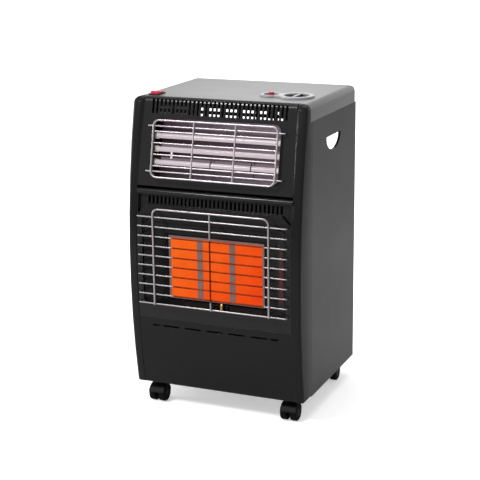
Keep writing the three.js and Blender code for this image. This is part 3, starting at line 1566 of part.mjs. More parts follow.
// An end bracket with the ceramic sockets that hold the tubes' ends.
function elementBracket(side) {
  const edge = windowHalfHeight + elementBracketEdge;
  const inside = reflectorHalf + fit;
  const plateEnd = inside + elementBracketSheet;
  const footEnd = reflectorFront + elementBracketSheet;
  const plate = sideBox(side, inside, plateEnd, reflectorFront, elementBracketDepth, -edge, edge);
  const foot = sideBox(side, inside, inside + elementBracketFoot, reflectorFront, footEnd, -edge, edge);
  const socket = (height, from, to, radius) => (
    rod([side * from, tubeDepth, height], [side * to, tubeDepth, height], radius, smallSides)
  );
  const sockets = tubeHeights.map((height) => (
    socket(height, inside - endCapLength, inside + over, endCapRadius)
  ));
  const bores = tubeHeights.map((height) => (
    socket(height, inside - endCapLength - over, inside - endCapFloor, tubeRadius + fit)
  ));
  return cut(join(plate, foot, ...sockets), ...bores);
}

function quartzTube(height) {
  const along = (half, radius) => rod([-half, tubeDepth, height], [half, tubeDepth, height], radius);
  return cut(along(tubeLength / 2, tubeRadius), along(tubeLength / 2 + over, tubeRadius - tubeWall));
}

function heatingCoil(height) {
  const end = reflectorHalf - endCapFloor;
  return rod([-end, tubeDepth, height], [end, tubeDepth, height], coilRadius, smallSides);
}

// ---------------------------------------------------------------------------------------
// Wire guards
// ---------------------------------------------------------------------------------------

// A wire whose two ends turn back towards a surface behind it.
function carrierWire(half, y, z, endY) {
  const corners = [[-half, endY, z], [-half, y, z], [half, y, z], [half, endY, z]];
  return wire(corners, guardBend, guardWire / 2, wireSides, wireBendSteps);
}

// How deep the bowed fascia lies behind the guard at a height along the tilted section.
function fasciaDepthAt(height) {
  const z = windowMiddleZ + height * Math.cos(windowTilt);
  return (fasciaY(z) - guardPlaneY - height * Math.sin(windowTilt)) / Math.cos(windowTilt);
}

function upperGuard() {
  const halfX = upperGuardHalf;
  const halfZ = upperGuardHalfHeight;
  const shape = roundedRect(-halfX, halfX, -halfZ, halfZ, guardCornerRadius);
  const frame = wireLoop(shape, 0, guardFrameWire / 2, wireSides);
  const across = centred(upperGuardInner, upperGuardPitch).map((z) => (
    rod([-halfX, wireBehind, z], [halfX, wireBehind, z], guardWire / 2, wireSides)
  ));
  const carriers = [-upperCarrierZ, upperCarrierZ].map((z) => (
    carrierWire(upperCarrierHalf, wireBehind, z, fasciaDepthAt(z) - 3 * fit)
  ));
  const uprights = [-upperGuardUpright, upperGuardUpright].map((x) => (
    rod([x, 0, -halfZ], [x, 0, halfZ], guardWire / 2, wireSides)
  ));
  return join(frame, ...across, ...carriers, ...uprights);
}

function lowerGuard() {
  const half = lowerGuardHalf;
  const hoop = wire([
    [-half, lowerGuardY, lowerGuardFoot], [-half, lowerGuardY, lowerGuardTop],
    [half, lowerGuardY, lowerGuardTop], [half, lowerGuardY, lowerGuardFoot],
  ], guardCornerRadius, guardFrameWire / 2, wireSides);
  const foot = [0, lowerGuardY, lowerGuardFoot];
  const upright = rod(foot, [0, lowerGuardY, lowerGuardTop], guardWire / 2, wireSides);
  const wires = repeat(lowerGuardCount, (index) => {
    const z = lowerGuardFirst + index * lowerGuardPitch;
    return carrierWire(lowerWireHalf, lowerGuardY + wireBehind, z, fasciaY(z) - fit);
  });
  return join(hoop, upright, ...wires);
}

// ---------------------------------------------------------------------------------------
// Small electrical parts
// ---------------------------------------------------------------------------------------

function tiltSwitch() {
  const top = topZ - tiltDrop;
  const low = top - tiltHeight;
  const half = tiltWidth / 2;
  const body = box(tiltX - half, tiltX + half, behindShield, behindShield + tiltDepth, low, top);
  const blades = [-tiltBladeX, tiltBladeX].map((dx) => blade(tiltX + dx, behindShield + tiltBladeY, low));
  return join(body, ...blades);
}

function terminalBlock() {
  const top = topZ - terminalDrop;
  const middle = top - terminalHeight / 2;
  const far = behindShield + terminalDepth;
  const half = terminalWidth / 2;
  const floor = behindShield + terminalFloor;
  const body = box(terminalX - half, terminalX + half, behindShield, far, top - terminalHeight, top);
  const wells = centred(tubeCount, terminalPitch).map((dx) => (
    rod([terminalX + dx, floor, middle], [terminalX + dx, far + over, middle], terminalHole, smallSides)
  ));
  return cut(body, ...wells);
}

function cableGland() {
  return turnedBack([
    [glandBore, glandHead], [glandBore, -glandLength], [glandRadius, -glandLength], [glandRadius, fit],
    [glandRadius + glandLip, fit], [glandRadius + glandLip, fit + glandLip], [glandBore + 2, glandHead],
  ], glandX, rearY, glandZ, roundSides);
}

// ---------------------------------------------------------------------------------------
// Casters, each about its own swivel axis
// ---------------------------------------------------------------------------------------

function casterMount(x, y) {
  const half = casterPlate / 2;
  const outlineOf = roundedRect(x - half, x + half, y - half, y + half, casterPlateCorner);
  const plate = prism('z', outlineOf, bottomZ, bottomZ + casterPlateSheet);
  const boss = rod([x, y, bottomZ - casterBoss], [x, y, bottomZ + casterPlateSheet / 2], casterBossRadius);
  const boreTop = bottomZ + casterPlateSheet + over;
  const bore = rod([x, y, bottomZ - casterBoss - over], [x, y, boreTop], kingpinRadius + runGap, smallSides);
  return cut(join(plate, boss), bore);
}

// A fender over both wheels, on a web between them, with the swivel's neck and kingpin.
function casterHood() {
  const axleY = -casterOffset;
  const half = casterHubGap / 2 - casterWebPlay;
  const inside = wheelRadius + fenderGap;
  const outside = inside + fenderSheet;
  const centre = [axleY, wheelRadius];
  const from = fenderFront;
  const to = 2 * quarter - fenderRear;
  const cover = outline([
    ...arc(...centre, outside, from, to, fenderSteps), ...arc(...centre, inside, to, from, fenderSteps),
  ]);
  const web = outline([
    ...arc(...centre, webRadius, -2 * quarter, 0),
    ...arc(...centre, outside - fenderSheet / 4, from, to, fenderSteps),
  ]);
  const neck = rod([0, 0, wheelRadius + casterBossRadius], [0, 0, hoodTopZ], casterBossRadius);
  const neckField = prism('x', outline([
    ...arc(...centre, outside, from, to, fenderSteps), [axleY - outside, bottomZ],
    [casterBossRadius + over, bottomZ], [casterBossRadius + over, wheelRadius + casterAxleRadius],
  ]), -fenderHalf, fenderHalf);
  const kingpinTop = bottomZ + casterPlateSheet - fit;
  const kingpin = rod([0, 0, hoodTopZ - over], [0, 0, kingpinTop], kingpinRadius, smallSides);
  const boreRadius = casterAxleRadius + casterAxlePlay;
  const bore = rod([-casterHubGap, axleY, wheelRadius], [casterHubGap, axleY, wheelRadius], boreRadius, smallSides);
  const fender = prism('x', cover, -fenderHalf, fenderHalf);
  return cut(join(fender, prism('x', web, -half, half), neck.intersect(neckField), kingpin), bore);
}

// Two wheels on one axle, turned as one piece.
function casterWheels() {
  const inner = casterHubGap / 2;
  const profile = [
    [0, -wheelOuter], [wheelRadius - wheelRound, -wheelOuter], [wheelRadius, wheelRound - wheelOuter],
    [wheelRadius, -inner], [casterAxleRadius, -inner],
  ];
  const mirrored = profile.slice().reverse().map(([radius, x]) => [radius, -x]);
  const points = [...profile, ...mirrored].map(([radius, x]) => new THREE.Vector2(radius, x));
  const geometry = new THREE.LatheGeometry(points, wheelSides);
  geometry.rotateZ(-quarter);
  geometry.translate(0, -casterOffset, wheelRadius);
  return solid(geometry);
}

// ---------------------------------------------------------------------------------------
// Assembly
// ---------------------------------------------------------------------------------------

const frontmostY = lowerGuardY - guardFrameWire / 2;
const rearmostY = rearY + rearCoverDish + ribRise;

const heater = new THREE.Group();
heater.position.y = -(frontmostY + rearmostY) / 2;

const electricSection = new THREE.Group();
electricSection.position.set(0, guardPlaneY, windowMiddleZ);
electricSection.rotation.x = -windowTilt;
heater.add(electricSection);

function place(name, shape, color, roughness, metalness, group = heater) {
  const material = new THREE.MeshStandardMaterial({ color, roughness, metalness });
  const mesh = new THREE.Mesh(geometryOf(shape), material);
  mesh.name = name;
  group.add(mesh);
  return mesh;
}

const satinSteel = [0x4c4c4e, 0.45, 0.3];
const glossBlack = [0x202022, 0.18, 0.1];
const greySteel = [0x8f8f90, 0.4, 0.6];
const chrome = [0xe4e4e6, 0.12, 1];
const brass = [0xb08d4a, 0.35, 0.9];
const blackPlastic = [0x18181a, 0.5, 0];
const ceramicWhite = [0xd9d3c6, 0.8, 0];

place('top_cover', topCover(), 0x8c8c8e, 0.35, 0.3);
place('side_panel_left', sidePanel(-1), ...satinSteel);
place('side_panel_right', sidePanel(1), ...satinSteel);
place('front_surround', frontSurround(), ...glossBlack);
place('upper_fascia', upperFascia(), ...glossBlack);
place('lower_fascia', lowerFascia(), 0x343436, 0.4, 0.2);
place('burner_recess', burnerRecess(), 0x2a2a2c, 0.3, 0.4);
place('base_tray', baseTray(), 0x3a3a3c, 0.5, 0.4);
place('rear_crossbar', rearCrossbar(), 0x3a3a3c, 0.5, 0.4);
place('rear_cover', rearCover(), ...satinSteel);
place('inner_shield', innerShield(), ...greySteel);

place('burner_housing', burnerHousing(), ...greySteel);
place('burner_frame', burnerFrame(), 0x8a7f78, 0.5, 0.6);
plaqueXs.forEach((x, index) => {
  place(`ceramic_plaque_${index + 1}`, ceramicPlaque(x), 0xf26522, 0.9, 0);
});
place('gas_manifold', gasManifold(), ...greySteel);
place('pilot_bracket', pilotBracket(), ...greySteel);
place('pilot_burner', pilotBurner(), ...brass);
place('spark_electrode', sparkElectrode(), ...ceramicWhite);
place('thermocouple', thermocouple(), 0xb87333, 0.4, 0.9);

place('gas_valve', gasValve(), ...greySteel);
place('valve_bracket', valveBracket(), ...greySteel);
place('valve_stem', valveStem(), ...brass);
place('control_knob', controlKnob(), ...blackPlastic);
place('supply_pipe', supplyPipe(), 0xb87333, 0.4, 0.9);
place('pilot_pipe', pilotPipe(), 0xb87333, 0.4, 0.9);
place('hose_nozzle', hoseNozzle(), ...brass);
place('control_plate', controlPlate(), 0xa8a8aa, 0.3, 0.6);
place('piezo_igniter', piezoIgniter(), ...blackPlastic);
place('igniter_button', igniterButton(), 0xb01030, 0.35, 0);
place('switch_housing', switchHousing(), ...blackPlastic);

const rocker = place('switch_rocker', switchRocker(), 0xc0152f, 0.2, 0);
rocker.position.set(switchX, switchY, rockerPivotZ);
rocker.rotation.x = THREE.MathUtils.degToRad(-rockerThrow / 2);

place('element_reflector', elementReflector(), 0xdcdce0, 0.08, 1, electricSection);
place('element_bracket_left', elementBracket(-1), ...ceramicWhite, electricSection);
place('element_bracket_right', elementBracket(1), ...ceramicWhite, electricSection);
tubeHeights.forEach((height, index) => {
  place(`quartz_tube_${index + 1}`, quartzTube(height), 0xf4e8dc, 0.15, 0, electricSection);
  place(`heating_coil_${index + 1}`, heatingCoil(height), 0xff9a50, 0.6, 0.5, electricSection);
});
place('upper_guard', upperGuard(), ...chrome, electricSection);
place('lower_guard', lowerGuard(), ...chrome);

place('tilt_switch', tiltSwitch(), ...blackPlastic);
place('terminal_block', terminalBlock(), ...ceramicWhite);
place('cable_gland', cableGland(), ...blackPlastic);

casterPlaces.forEach(([x, y], index) => {
  place(`caster_mount_${index + 1}`, casterMount(x, y), ...greySteel);
  const caster = new THREE.Group();
  caster.position.set(x, y, 0);
  heater.add(caster);
  place(`caster_hood_${index + 1}`, casterHood(), ...blackPlastic, caster);
  place(`caster_wheels_${index + 1}`, casterWheels(), ...blackPlastic, caster);
});

export default heater;
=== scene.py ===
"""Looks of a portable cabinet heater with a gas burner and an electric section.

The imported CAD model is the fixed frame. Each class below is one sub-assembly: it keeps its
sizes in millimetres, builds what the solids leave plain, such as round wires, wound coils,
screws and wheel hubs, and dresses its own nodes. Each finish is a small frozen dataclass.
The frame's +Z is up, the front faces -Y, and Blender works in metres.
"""

from __future__ import annotations

import logging
import math
from dataclasses import dataclass
from enum import Enum
from typing import Sequence

import bmesh
import bpy
from bmesh.types import BMesh, BMVert
from bpy.types import Material, Node, NodeSocket, NodeTree, Object
from mathutils import Matrix, Vector


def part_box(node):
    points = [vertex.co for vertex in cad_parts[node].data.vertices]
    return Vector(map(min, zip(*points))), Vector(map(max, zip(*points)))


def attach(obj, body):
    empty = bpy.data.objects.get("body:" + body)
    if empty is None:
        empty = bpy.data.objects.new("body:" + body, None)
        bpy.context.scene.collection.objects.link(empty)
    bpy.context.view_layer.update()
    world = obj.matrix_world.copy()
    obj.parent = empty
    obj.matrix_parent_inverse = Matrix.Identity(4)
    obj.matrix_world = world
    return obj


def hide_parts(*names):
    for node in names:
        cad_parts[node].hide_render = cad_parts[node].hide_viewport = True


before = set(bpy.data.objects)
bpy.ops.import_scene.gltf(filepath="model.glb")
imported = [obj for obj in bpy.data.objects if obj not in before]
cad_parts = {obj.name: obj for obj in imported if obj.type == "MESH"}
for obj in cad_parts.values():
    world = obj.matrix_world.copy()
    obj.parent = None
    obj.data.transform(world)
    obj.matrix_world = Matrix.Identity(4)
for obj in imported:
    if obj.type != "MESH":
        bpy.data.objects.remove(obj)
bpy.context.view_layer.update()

log = logging.getLogger("heater")

MM = 0.001
EDGE_SAMPLES = 4  # rays that soften an edge in a shader
JOIN_MM = 0.004  # corners nearer than this are one
CREASE_DEGREES = 32  # sharper edges stay sharp
FRAME_SHIFT = 23.35  # mm from the cabinet's own Y to the frame's Y


class Facing(Enum):
    """The way that a fastener's head looks out."""

    REAR = (0.0, 1.0, 0.0)
    LEFT = (-1.0, 0.0, 0.0)
    RIGHT = (1.0, 0.0, 0.0)


class Body(str, Enum):
    """The bodies of the frame that made pieces ride on."""

    CABINET = "cabinet"
    KNOB = "control_knob"
    WHEELS = "caster_wheels"


class Slot(str, Enum):
    """Names of material slots; no piece in the script takes its finish from them."""

    WIRE = "chrome_wire"
    COIL = "hot_wire"
    ZINC = "zinc_steel"
    BLACK = "black_plastic"
    PLATE = "plate_plastic"
    CERAMIC = "white_ceramic"
    RECESS = "recess_enamel"


# ---------------------------------------------------------------------------------------
# Colour and node helpers
# ---------------------------------------------------------------------------------------


def linear(code: str, alpha: float = 1.0) -> tuple[float, float, float, float]:
    """Turn an sRGB hex colour into Blender's linear colour.

    Args:
        code: Six hex digits after a hash mark.
        alpha: Opacity that goes with it.

    Returns:
        Red, green, blue and alpha, linear.
    """
    parts = [int(code[i : i + 2], 16) / 255 for i in (1, 3, 5)]
    red, green, blue = (c / 12.92 if c <= 0.04045 else ((c + 0.055) / 1.055) ** 2.4 for c in parts)
    return red, green, blue, alpha


def add(
    tree: NodeTree,
    kind: str,
    settings: dict[str, object] | None = None,
    inputs: dict[str | int, object] | None = None,
) -> Node:
    """Add a node with its settings, socket values and links.

    Args:
        tree: The node tree that takes it.
        kind: Blender's name of the node type.
        settings: Attributes of the node itself.
        inputs: For each input socket a value, or an output socket to link from.

    Returns:
        The new node.
    """
    node = tree.nodes.new(kind)
    for name, value in (settings or {}).items():
        setattr(node, name, value)
    for name, value in (inputs or {}).items():
        if isinstance(value, NodeSocket):
            tree.links.new(value, node.inputs[name])
        else:
            node.inputs[name].default_value = value
    return node


def principled(tree: NodeTree, inputs: dict[str | int, object]) -> Node:
    """Add the shader that every solid finish is made of, with its inputs."""
    return add(tree, "ShaderNodeBsdfPrincipled", None, inputs)


def new_material(name: str) -> tuple[Material, NodeTree, NodeSocket]:
    """Make an empty node material.

    Args:
        name: Name of the material.

    Returns:
        The material, its tree and the surface socket of its output.
    """
    material = bpy.data.materials.new(name)
    material.use_nodes = True
    tree = material.node_tree
    tree.nodes.clear()
    output = add(tree, "ShaderNodeOutputMaterial")
    return material, tree, output.inputs["Surface"]


def object_millimetres(tree: NodeTree) -> NodeSocket:
    """Give the object's own coordinates in millimetres, so that patterns keep real sizes."""
    place = add(tree, "ShaderNodeTexCoord")
    scaled = add(
        tree,
        "ShaderNodeVectorMath",
        {"operation": "SCALE"},
        {"Vector": place.outputs["Object"], "Scale": 1000.0},
    )
    return scaled.outputs["Vector"]


def spread(
    tree: NodeTree,
    source: NodeSocket,
    low: float,
    high: float,
    start: float = 0.0,
    end: float = 1.0,
) -> NodeSocket:
    """Map a signal onto a range and hold it beyond its ends.

    Args:
        tree: The node tree.
        source: The signal.
        low: Value at the start.
        high: Value at the end.
        start: Signal that gives the low value.
        end: Signal that gives the high value.

    Returns:
        The mapped signal.
    """
    values = {"Value": source, "From Min": start, "From Max": end, "To Min": low, "To Max": high}
    return add(tree, "ShaderNodeMapRange", None, values).outputs["Result"]


def calc(tree: NodeTree, operation: str, first: object, second: object = 0.0) -> NodeSocket:
    """Work out one number from two values or sockets.

    Args:
        tree: The node tree.
        operation: Blender's name of the operation.
        first: First value or socket.
        second: Second value or socket.

    Returns:
        The result.
    """
    return add(tree, "ShaderNodeMath", {"operation": operation}, {0: first, 1: second}).outputs["Value"]


def vector(tree: NodeTree, operation: str, first: object, second: object = (0.0, 0.0, 0.0)) -> NodeSocket:
    """Work out one vector from two, as calc does for numbers."""
    values = {0: first, 1: second}
    return add(tree, "ShaderNodeVectorMath", {"operation": operation}, values).outputs["Vector"]


def axes(tree: NodeTree, place: NodeSocket) -> dict[str, NodeSocket]:
    """Split a place into its X, Y and Z."""
    split = add(tree, "ShaderNodeSeparateXYZ", None, {"Vector": place})
    return {axis: split.outputs[axis] for axis in "XYZ"}


def blend(tree: NodeTree, share: object, first: str | NodeSocket, second: str | NodeSocket) -> NodeSocket:
    """Mix two colours by a share; each is an sRGB hex colour or a socket."""
    ends = (linear(colour) if isinstance(colour, str) else colour for colour in (first, second))
    colours = {"Factor": share, **dict(zip((6, 7), ends))}
    return add(tree, "ShaderNodeMix", {"data_type": "RGBA"}, colours).outputs[2]


def noise(tree: NodeTree, place: NodeSocket, size_mm: float, detail: float) -> NodeSocket:
    """Give a noise from 0 to 1 whose blotches have a size in millimetres."""
    values = {"Vector": place, "Scale": 1 / size_mm, "Detail": detail}
    return add(tree, "ShaderNodeTexNoise", None, values).outputs["Fac"]


# ---------------------------------------------------------------------------------------
# Finishes
# ---------------------------------------------------------------------------------------


@dataclass(frozen=True)
class StovedEnamel:
    """Stoved enamel on sheet steel: an even, slightly orange-peeled skin with soft edges."""

    name: str
    colour: str
    worn: str
    roughness: float
    specular: float = 0.5  # under 0.5 where the pale room would wash out a dark enamel
    peel_mm: float = 2.2  # orange peel, drawn wider than its real 0.8 mm so that it shows
    peel_depth_mm: float = 0.012
    cloud_mm: float = 80.0
    edge_mm: float = 0.8

    def make(self) -> Material:
        """Build the enamel as a node material."""
        material, tree, surface = new_material(self.name)
        place = object_millimetres(tree)
        cloud = noise(tree, place, self.cloud_mm, 3.0)
        edge = add(tree, "ShaderNodeBevel", {"samples": EDGE_SAMPLES}, {"Radius": self.edge_mm * MM})
        peel = {
            "Height": noise(tree, place, self.peel_mm, 2.0),
            "Distance": self.peel_depth_mm * MM,
            "Normal": edge.outputs["Normal"],
        }
        shader = principled(tree, {
            "Base Color": blend(tree, cloud, self.colour, self.worn),
            "Roughness": spread(tree, cloud, self.roughness * 0.85, self.roughness * 1.15),
            "IOR": 1.5,
            "Specular IOR Level": self.specular,
            "Normal": add(tree, "ShaderNodeBump", None, peel).outputs["Normal"],
        })
        tree.links.new(shader.outputs["BSDF"], surface)
        return material


@dataclass(frozen=True)
class FurnaceEnamel:
    """Vitreous enamel of the burner recess: gloss black, with painted light: a red glow that stands in for
    the plaques' light on its right splay.
    """

    name: str = "vitreous_enamel_black_painted_glow"
    colour: str = "#0a0a0b"
    worn: str = "#0f0f10"
    roughness: float = 0.2
    specular: float = 0.12
    # glow: painted light, a red glow that stands in for the plaques' light on the splay
    glow: str = "#a01206"
    painted_glow_strength: float = 0.5
    painted_glow_wall_mm: tuple[float, float] = (152.0, 166.0)  # X of the right splay, where the plaques' light is painted as a glow
    painted_glow_wall_fade_mm: tuple[float, float] = (6.0, 5.0)
    rows_mm: tuple[float, float] = (280.0, 425.0)
    fade_mm: float = 40.0
    cloud_mm: float = 60.0

    def make(self) -> Material:
        """Build the enamel as a node material."""
        material, tree, surface = new_material(self.name)
        place = object_millimetres(tree)
        cloud = noise(tree, place, self.cloud_mm, 2.0)
        split = axes(tree, place)
        low, high = self.rows_mm
        rise = spread(tree, split["Z"], 0.0, 1.0, low, low + self.fade_mm)
        fall = spread(tree, split["Z"], 1.0, 0.0, high - self.fade_mm, high)
        start, end = self.painted_glow_wall_mm
        near = spread(tree, split["X"], 0.0, 1.0, start, start + self.painted_glow_wall_fade_mm[0])
        far = spread(tree, split["X"], 1.0, 0.0, end - self.painted_glow_wall_fade_mm[1], end)
        across = calc(tree, "MULTIPLY", near, far)
        painted_glow_mask = calc(tree, "MULTIPLY", across, calc(tree, "MULTIPLY", rise, fall))
        # painted light: the splay's glow, as if thrown by the plaques
        power = calc(tree, "MULTIPLY", painted_glow_mask, calc(tree, "MULTIPLY", cloud, self.painted_glow_strength))
        shader = principled(tree, {
            "Base Color": blend(tree, cloud, self.colour, self.worn),
            "Roughness": self.roughness,
            "IOR": 1.5,
            "Specular IOR Level": self.specular,
            "Emission Color": linear(self.glow),
            "Emission Strength": power,
        })
        tree.links.new(shader.outputs["BSDF"], surface)
        return material


@dataclass(frozen=True)
class RolledMetal:
    """Rolled, drawn or plated metal: long fine streaks along one axis and a cloudy sheen."""

    name: str
    colour: str
    tint: str
    roughness: float
    streak_mm: tuple[float, float, float] = (60.0, 1.2, 1.2)  # length of the marks along X, Y, Z
    streak_depth_mm: float = 0.006
    cloud_mm: float = 40.0

    def make(self) -> Material:
        """Build the metal as a node material."""
        material, tree, surface = new_material(self.name)
        place = object_millimetres(tree)
        streak = noise(tree, vector(tree, "DIVIDE", place, self.streak_mm), 1.0, 3.0)
        marks = {"Height": streak, "Distance": self.streak_depth_mm * MM}
        shader = principled(tree, {
            "Base Color": blend(tree, noise(tree, place, self.cloud_mm, 4.0), self.colour, self.tint),
            "Metallic": 1.0,
            "Roughness": spread(tree, streak, self.roughness * 0.7, self.roughness * 1.3),
            "Normal": add(tree, "ShaderNodeBump", None, marks).outputs["Normal"],
        })
        tree.links.new(shader.outputs["BSDF"], surface)
        return material


@dataclass(frozen=True)
class TroughMirror:
    """Polished aluminium trough with painted light: pale painted reflections of the lit tubes, and painted
    shade between them, darker to the left.
    """

    name: str = "polished_aluminium_trough"
    # pale: painted reflection of the lit tubes
    pale: str = "#a1979d"
    # painted shade between the reflections, darker to the left where the opening's shadow falls
    painted_shade_left: str = "#35292e"
    painted_shade_right: str = "#6f656a"
    roughness: float = 0.22
    first_mm: float = 588.1  # Z of the lowest tube
    pitch_mm: float = 29.36  # rise from tube to tube
    lift_mm: float = 3.5  # of the painted reflection's middle over the tube
    half_mm: float = 6.5
    below_mm: float = 8.0  # of the bands' end under the lowest tube
    above_mm: float = 12.0  # and over the highest one
    fade_mm: float = 2.0
    soft_mm: float = 1.5
    streak_mm: tuple[float, float, float] = (120.0, 2.0, 5.0)
    left_mm: float = -140.0
    right_mm: float = 120.0

    def make(self) -> Material:
        """Build the mirror as a node material."""
        material, tree, surface = new_material(self.name)
        place = object_millimetres(tree)
        split = axes(tree, place)
        streak = noise(tree, vector(tree, "DIVIDE", place, self.streak_mm), 1.0, 2.0)
        height = calc(tree, "SUBTRACT", split["Z"], self.first_mm + self.lift_mm - self.pitch_mm / 2)
        height = calc(tree, "ADD", height, spread(tree, streak, -self.fade_mm, self.fade_mm))
        phase = calc(tree, "PINGPONG", height, self.pitch_mm / 2)
        edge = self.pitch_mm / 2 - self.half_mm
        painted_reflection_band = spread(tree, phase, 0.0, 1.0, edge - self.soft_mm, edge + self.soft_mm)
        first = self.first_mm - self.below_mm
        above = spread(tree, split["Z"], 0.0, 1.0, first - self.fade_mm, first)
        last = self.first_mm + 2 * self.pitch_mm + self.above_mm
        under = spread(tree, split["Z"], 1.0, 0.0, last, last + self.fade_mm)
        painted_reflection_band = calc(tree, "MULTIPLY", painted_reflection_band, calc(tree, "MULTIPLY", above, under))
        # painted shade between the painted reflections of the tubes
        painted_shade_between = blend(
            tree,
            spread(tree, split["X"], 0.0, 1.0, self.left_mm, self.right_mm),
            self.painted_shade_left,
            self.painted_shade_right,
        )
        shader = principled(tree, {
            "Base Color": blend(tree, painted_reflection_band, painted_shade_between, self.pale),
            "Metallic": 1.0,
            "Roughness": spread(tree, streak, self.roughness * 0.7, self.roughness * 1.4),
        })
        tree.links.new(shader.outputs["BSDF"], surface)
        return material


@dataclass(frozen=True)
class MouldedPlastic:
    """Injection-moulded plastic: a spark-eroded grain that breaks up the sheen."""

    name: str
    colour: str
    shade: str
    roughness: float
    specular: float = 0.5
    grain_mm: float = 0.9  # drawn coarser than the real 0.3 mm grain so that it shows
    grain_depth_mm: float = 0.02
    edge_mm: float = 0.5
    cloud_mm: float = 20.0
    glow: float = 0.0
    sunk: str = ""  # colour below a height, where wells lie in shadow
    sunk_mm: float = 0.0

    def make(self) -> Material:
        """Build the plastic as a node material."""
        material, tree, surface = new_material(self.name)
        place = object_millimetres(tree)
        edge = add(tree, "ShaderNodeBevel", {"samples": EDGE_SAMPLES}, {"Radius": self.edge_mm * MM})
        grain = {
            "Height": noise(tree, place, self.grain_mm, 2.0),
            "Distance": self.grain_depth_mm * MM,
            "Normal": edge.outputs["Normal"],
        }
        tint = blend(tree, noise(tree, place, self.cloud_mm, 2.0), self.colour, self.shade)
        if self.sunk:
            split = axes(tree, place)
            above = spread(tree, split["Z"], 0.0, 1.0, self.sunk_mm - 0.2, self.sunk_mm + 0.2)
            tint = blend(tree, above, self.sunk, tint)
        shader = principled(tree, {
            "Base Color": tint,
            "Roughness": self.roughness,
            "IOR": 1.49,
            "Specular IOR Level": self.specular,
            "Normal": add(tree, "ShaderNodeBump", None, grain).outputs["Normal"],
        })
        if self.glow:
            tree.links.new(tint, shader.inputs["Emission Color"])
            shader.inputs["Emission Strength"].default_value = self.glow
        tree.links.new(shader.outputs["BSDF"], surface)
        return material


@dataclass(frozen=True)
class GlowingPlaque:
    """Perforated cordierite at red heat: bright cells round dark gas holes, redder to the right."""

    name: str = "cordierite_at_red_heat"
    bright: str = "#ff6a1c"
    deep: str = "#f2420f"
    hole_pitch_mm: float = 3.2  # real holes are 1.2 mm at 2.4, drawn wider so that they show
    left_mm: float = -100.0
    right_mm: float = 130.0
    low_mm: float = 270.0
    high_mm: float = 420.0
    swing: float = 0.35  # of the patches
    patch_mm: float = 30.0
    power: tuple[float, float] = (0.82, 1.02)  # in a hole and between holes

    def make(self) -> Material:
        """Build the plaque as a glowing node material."""
        material, tree, surface = new_material(self.name)
        place = object_millimetres(tree)
        cells = add(
            tree,
            "ShaderNodeTexVoronoi",
            {"voronoi_dimensions": "3D"},
            {"Vector": place, "Scale": 1 / self.hole_pitch_mm, "Randomness": 0.25},
        )
        split = axes(tree, place)
        across = spread(tree, split["X"], 0.0, 0.7, self.left_mm, self.right_mm)
        down = spread(tree, split["Z"], 0.3, 0.0, self.low_mm, self.high_mm)
        patches = spread(tree, noise(tree, place, self.patch_mm, 2.0), -self.swing, self.swing)
        heat = calc(tree, "ADD", calc(tree, "ADD", across, down), patches)
        shader = principled(tree, {
            "Base Color": linear("#2a0c04"),
            "Roughness": 0.95,
            "Specular IOR Level": 0.05,
            "Emission Color": blend(tree, spread(tree, heat, 0.0, 1.0), self.bright, self.deep),
            "Emission Strength": spread(tree, cells.outputs["Distance"], *self.power),
        })
        tree.links.new(shader.outputs["BSDF"], surface)
        return material


@dataclass(frozen=True)
class LitQuartz:
    """Fused quartz round a white-hot coil: a milky, evenly lit tube with a gloss."""

    name: str = "fused_quartz_lit"
    colour: str = "#efe6ea"
    strength: float = 0.56
    clear: float = 0.25
    draw_mm: tuple[float, float, float] = (26.0, 2.0, 2.0)

    def make(self) -> Material:
        """Build the lit quartz as a node material."""
        material, tree, surface = new_material(self.name)
        place = object_millimetres(tree)
        lines = noise(tree, vector(tree, "DIVIDE", place, self.draw_mm), 1.0, 2.0)
        shader = principled(tree, {
            "Base Color": linear("#5a5056"),
            "Roughness": 0.18,
            "IOR": 1.458,
            "Emission Color": linear(self.colour),
            "Emission Strength": spread(tree, lines, self.strength * 0.85, self.strength * 1.1),
        })
        glass = add(tree, "ShaderNodeBsdfTransparent", None, {"Color": linear("#fff6f8")})
        shares = {"Fac": self.clear, 1: shader.outputs["BSDF"], 2: glass.outputs["BSDF"]}
        tree.links.new(add(tree, "ShaderNodeMixShader", None, shares).outputs["Shader"], surface)
        return material


@dataclass(frozen=True)
class HotMetal:
    """Resistance wire or flame: it gives light of one colour that flickers along its length."""

    name: str
    colour: str
    strength: float
    flicker_mm: float = 5.0

    def make(self) -> Material:
        """Build the glow as a node material."""
        material, tree, surface = new_material(self.name)
        cloud = noise(tree, object_millimetres(tree), self.flicker_mm, 1.0)
        power = spread(tree, cloud, self.strength * 0.85, self.strength * 1.15)
        glow = add(tree, "ShaderNodeEmission", None, {"Color": linear(self.colour), "Strength": power})
        tree.links.new(glow.outputs["Emission"], surface)
        return material


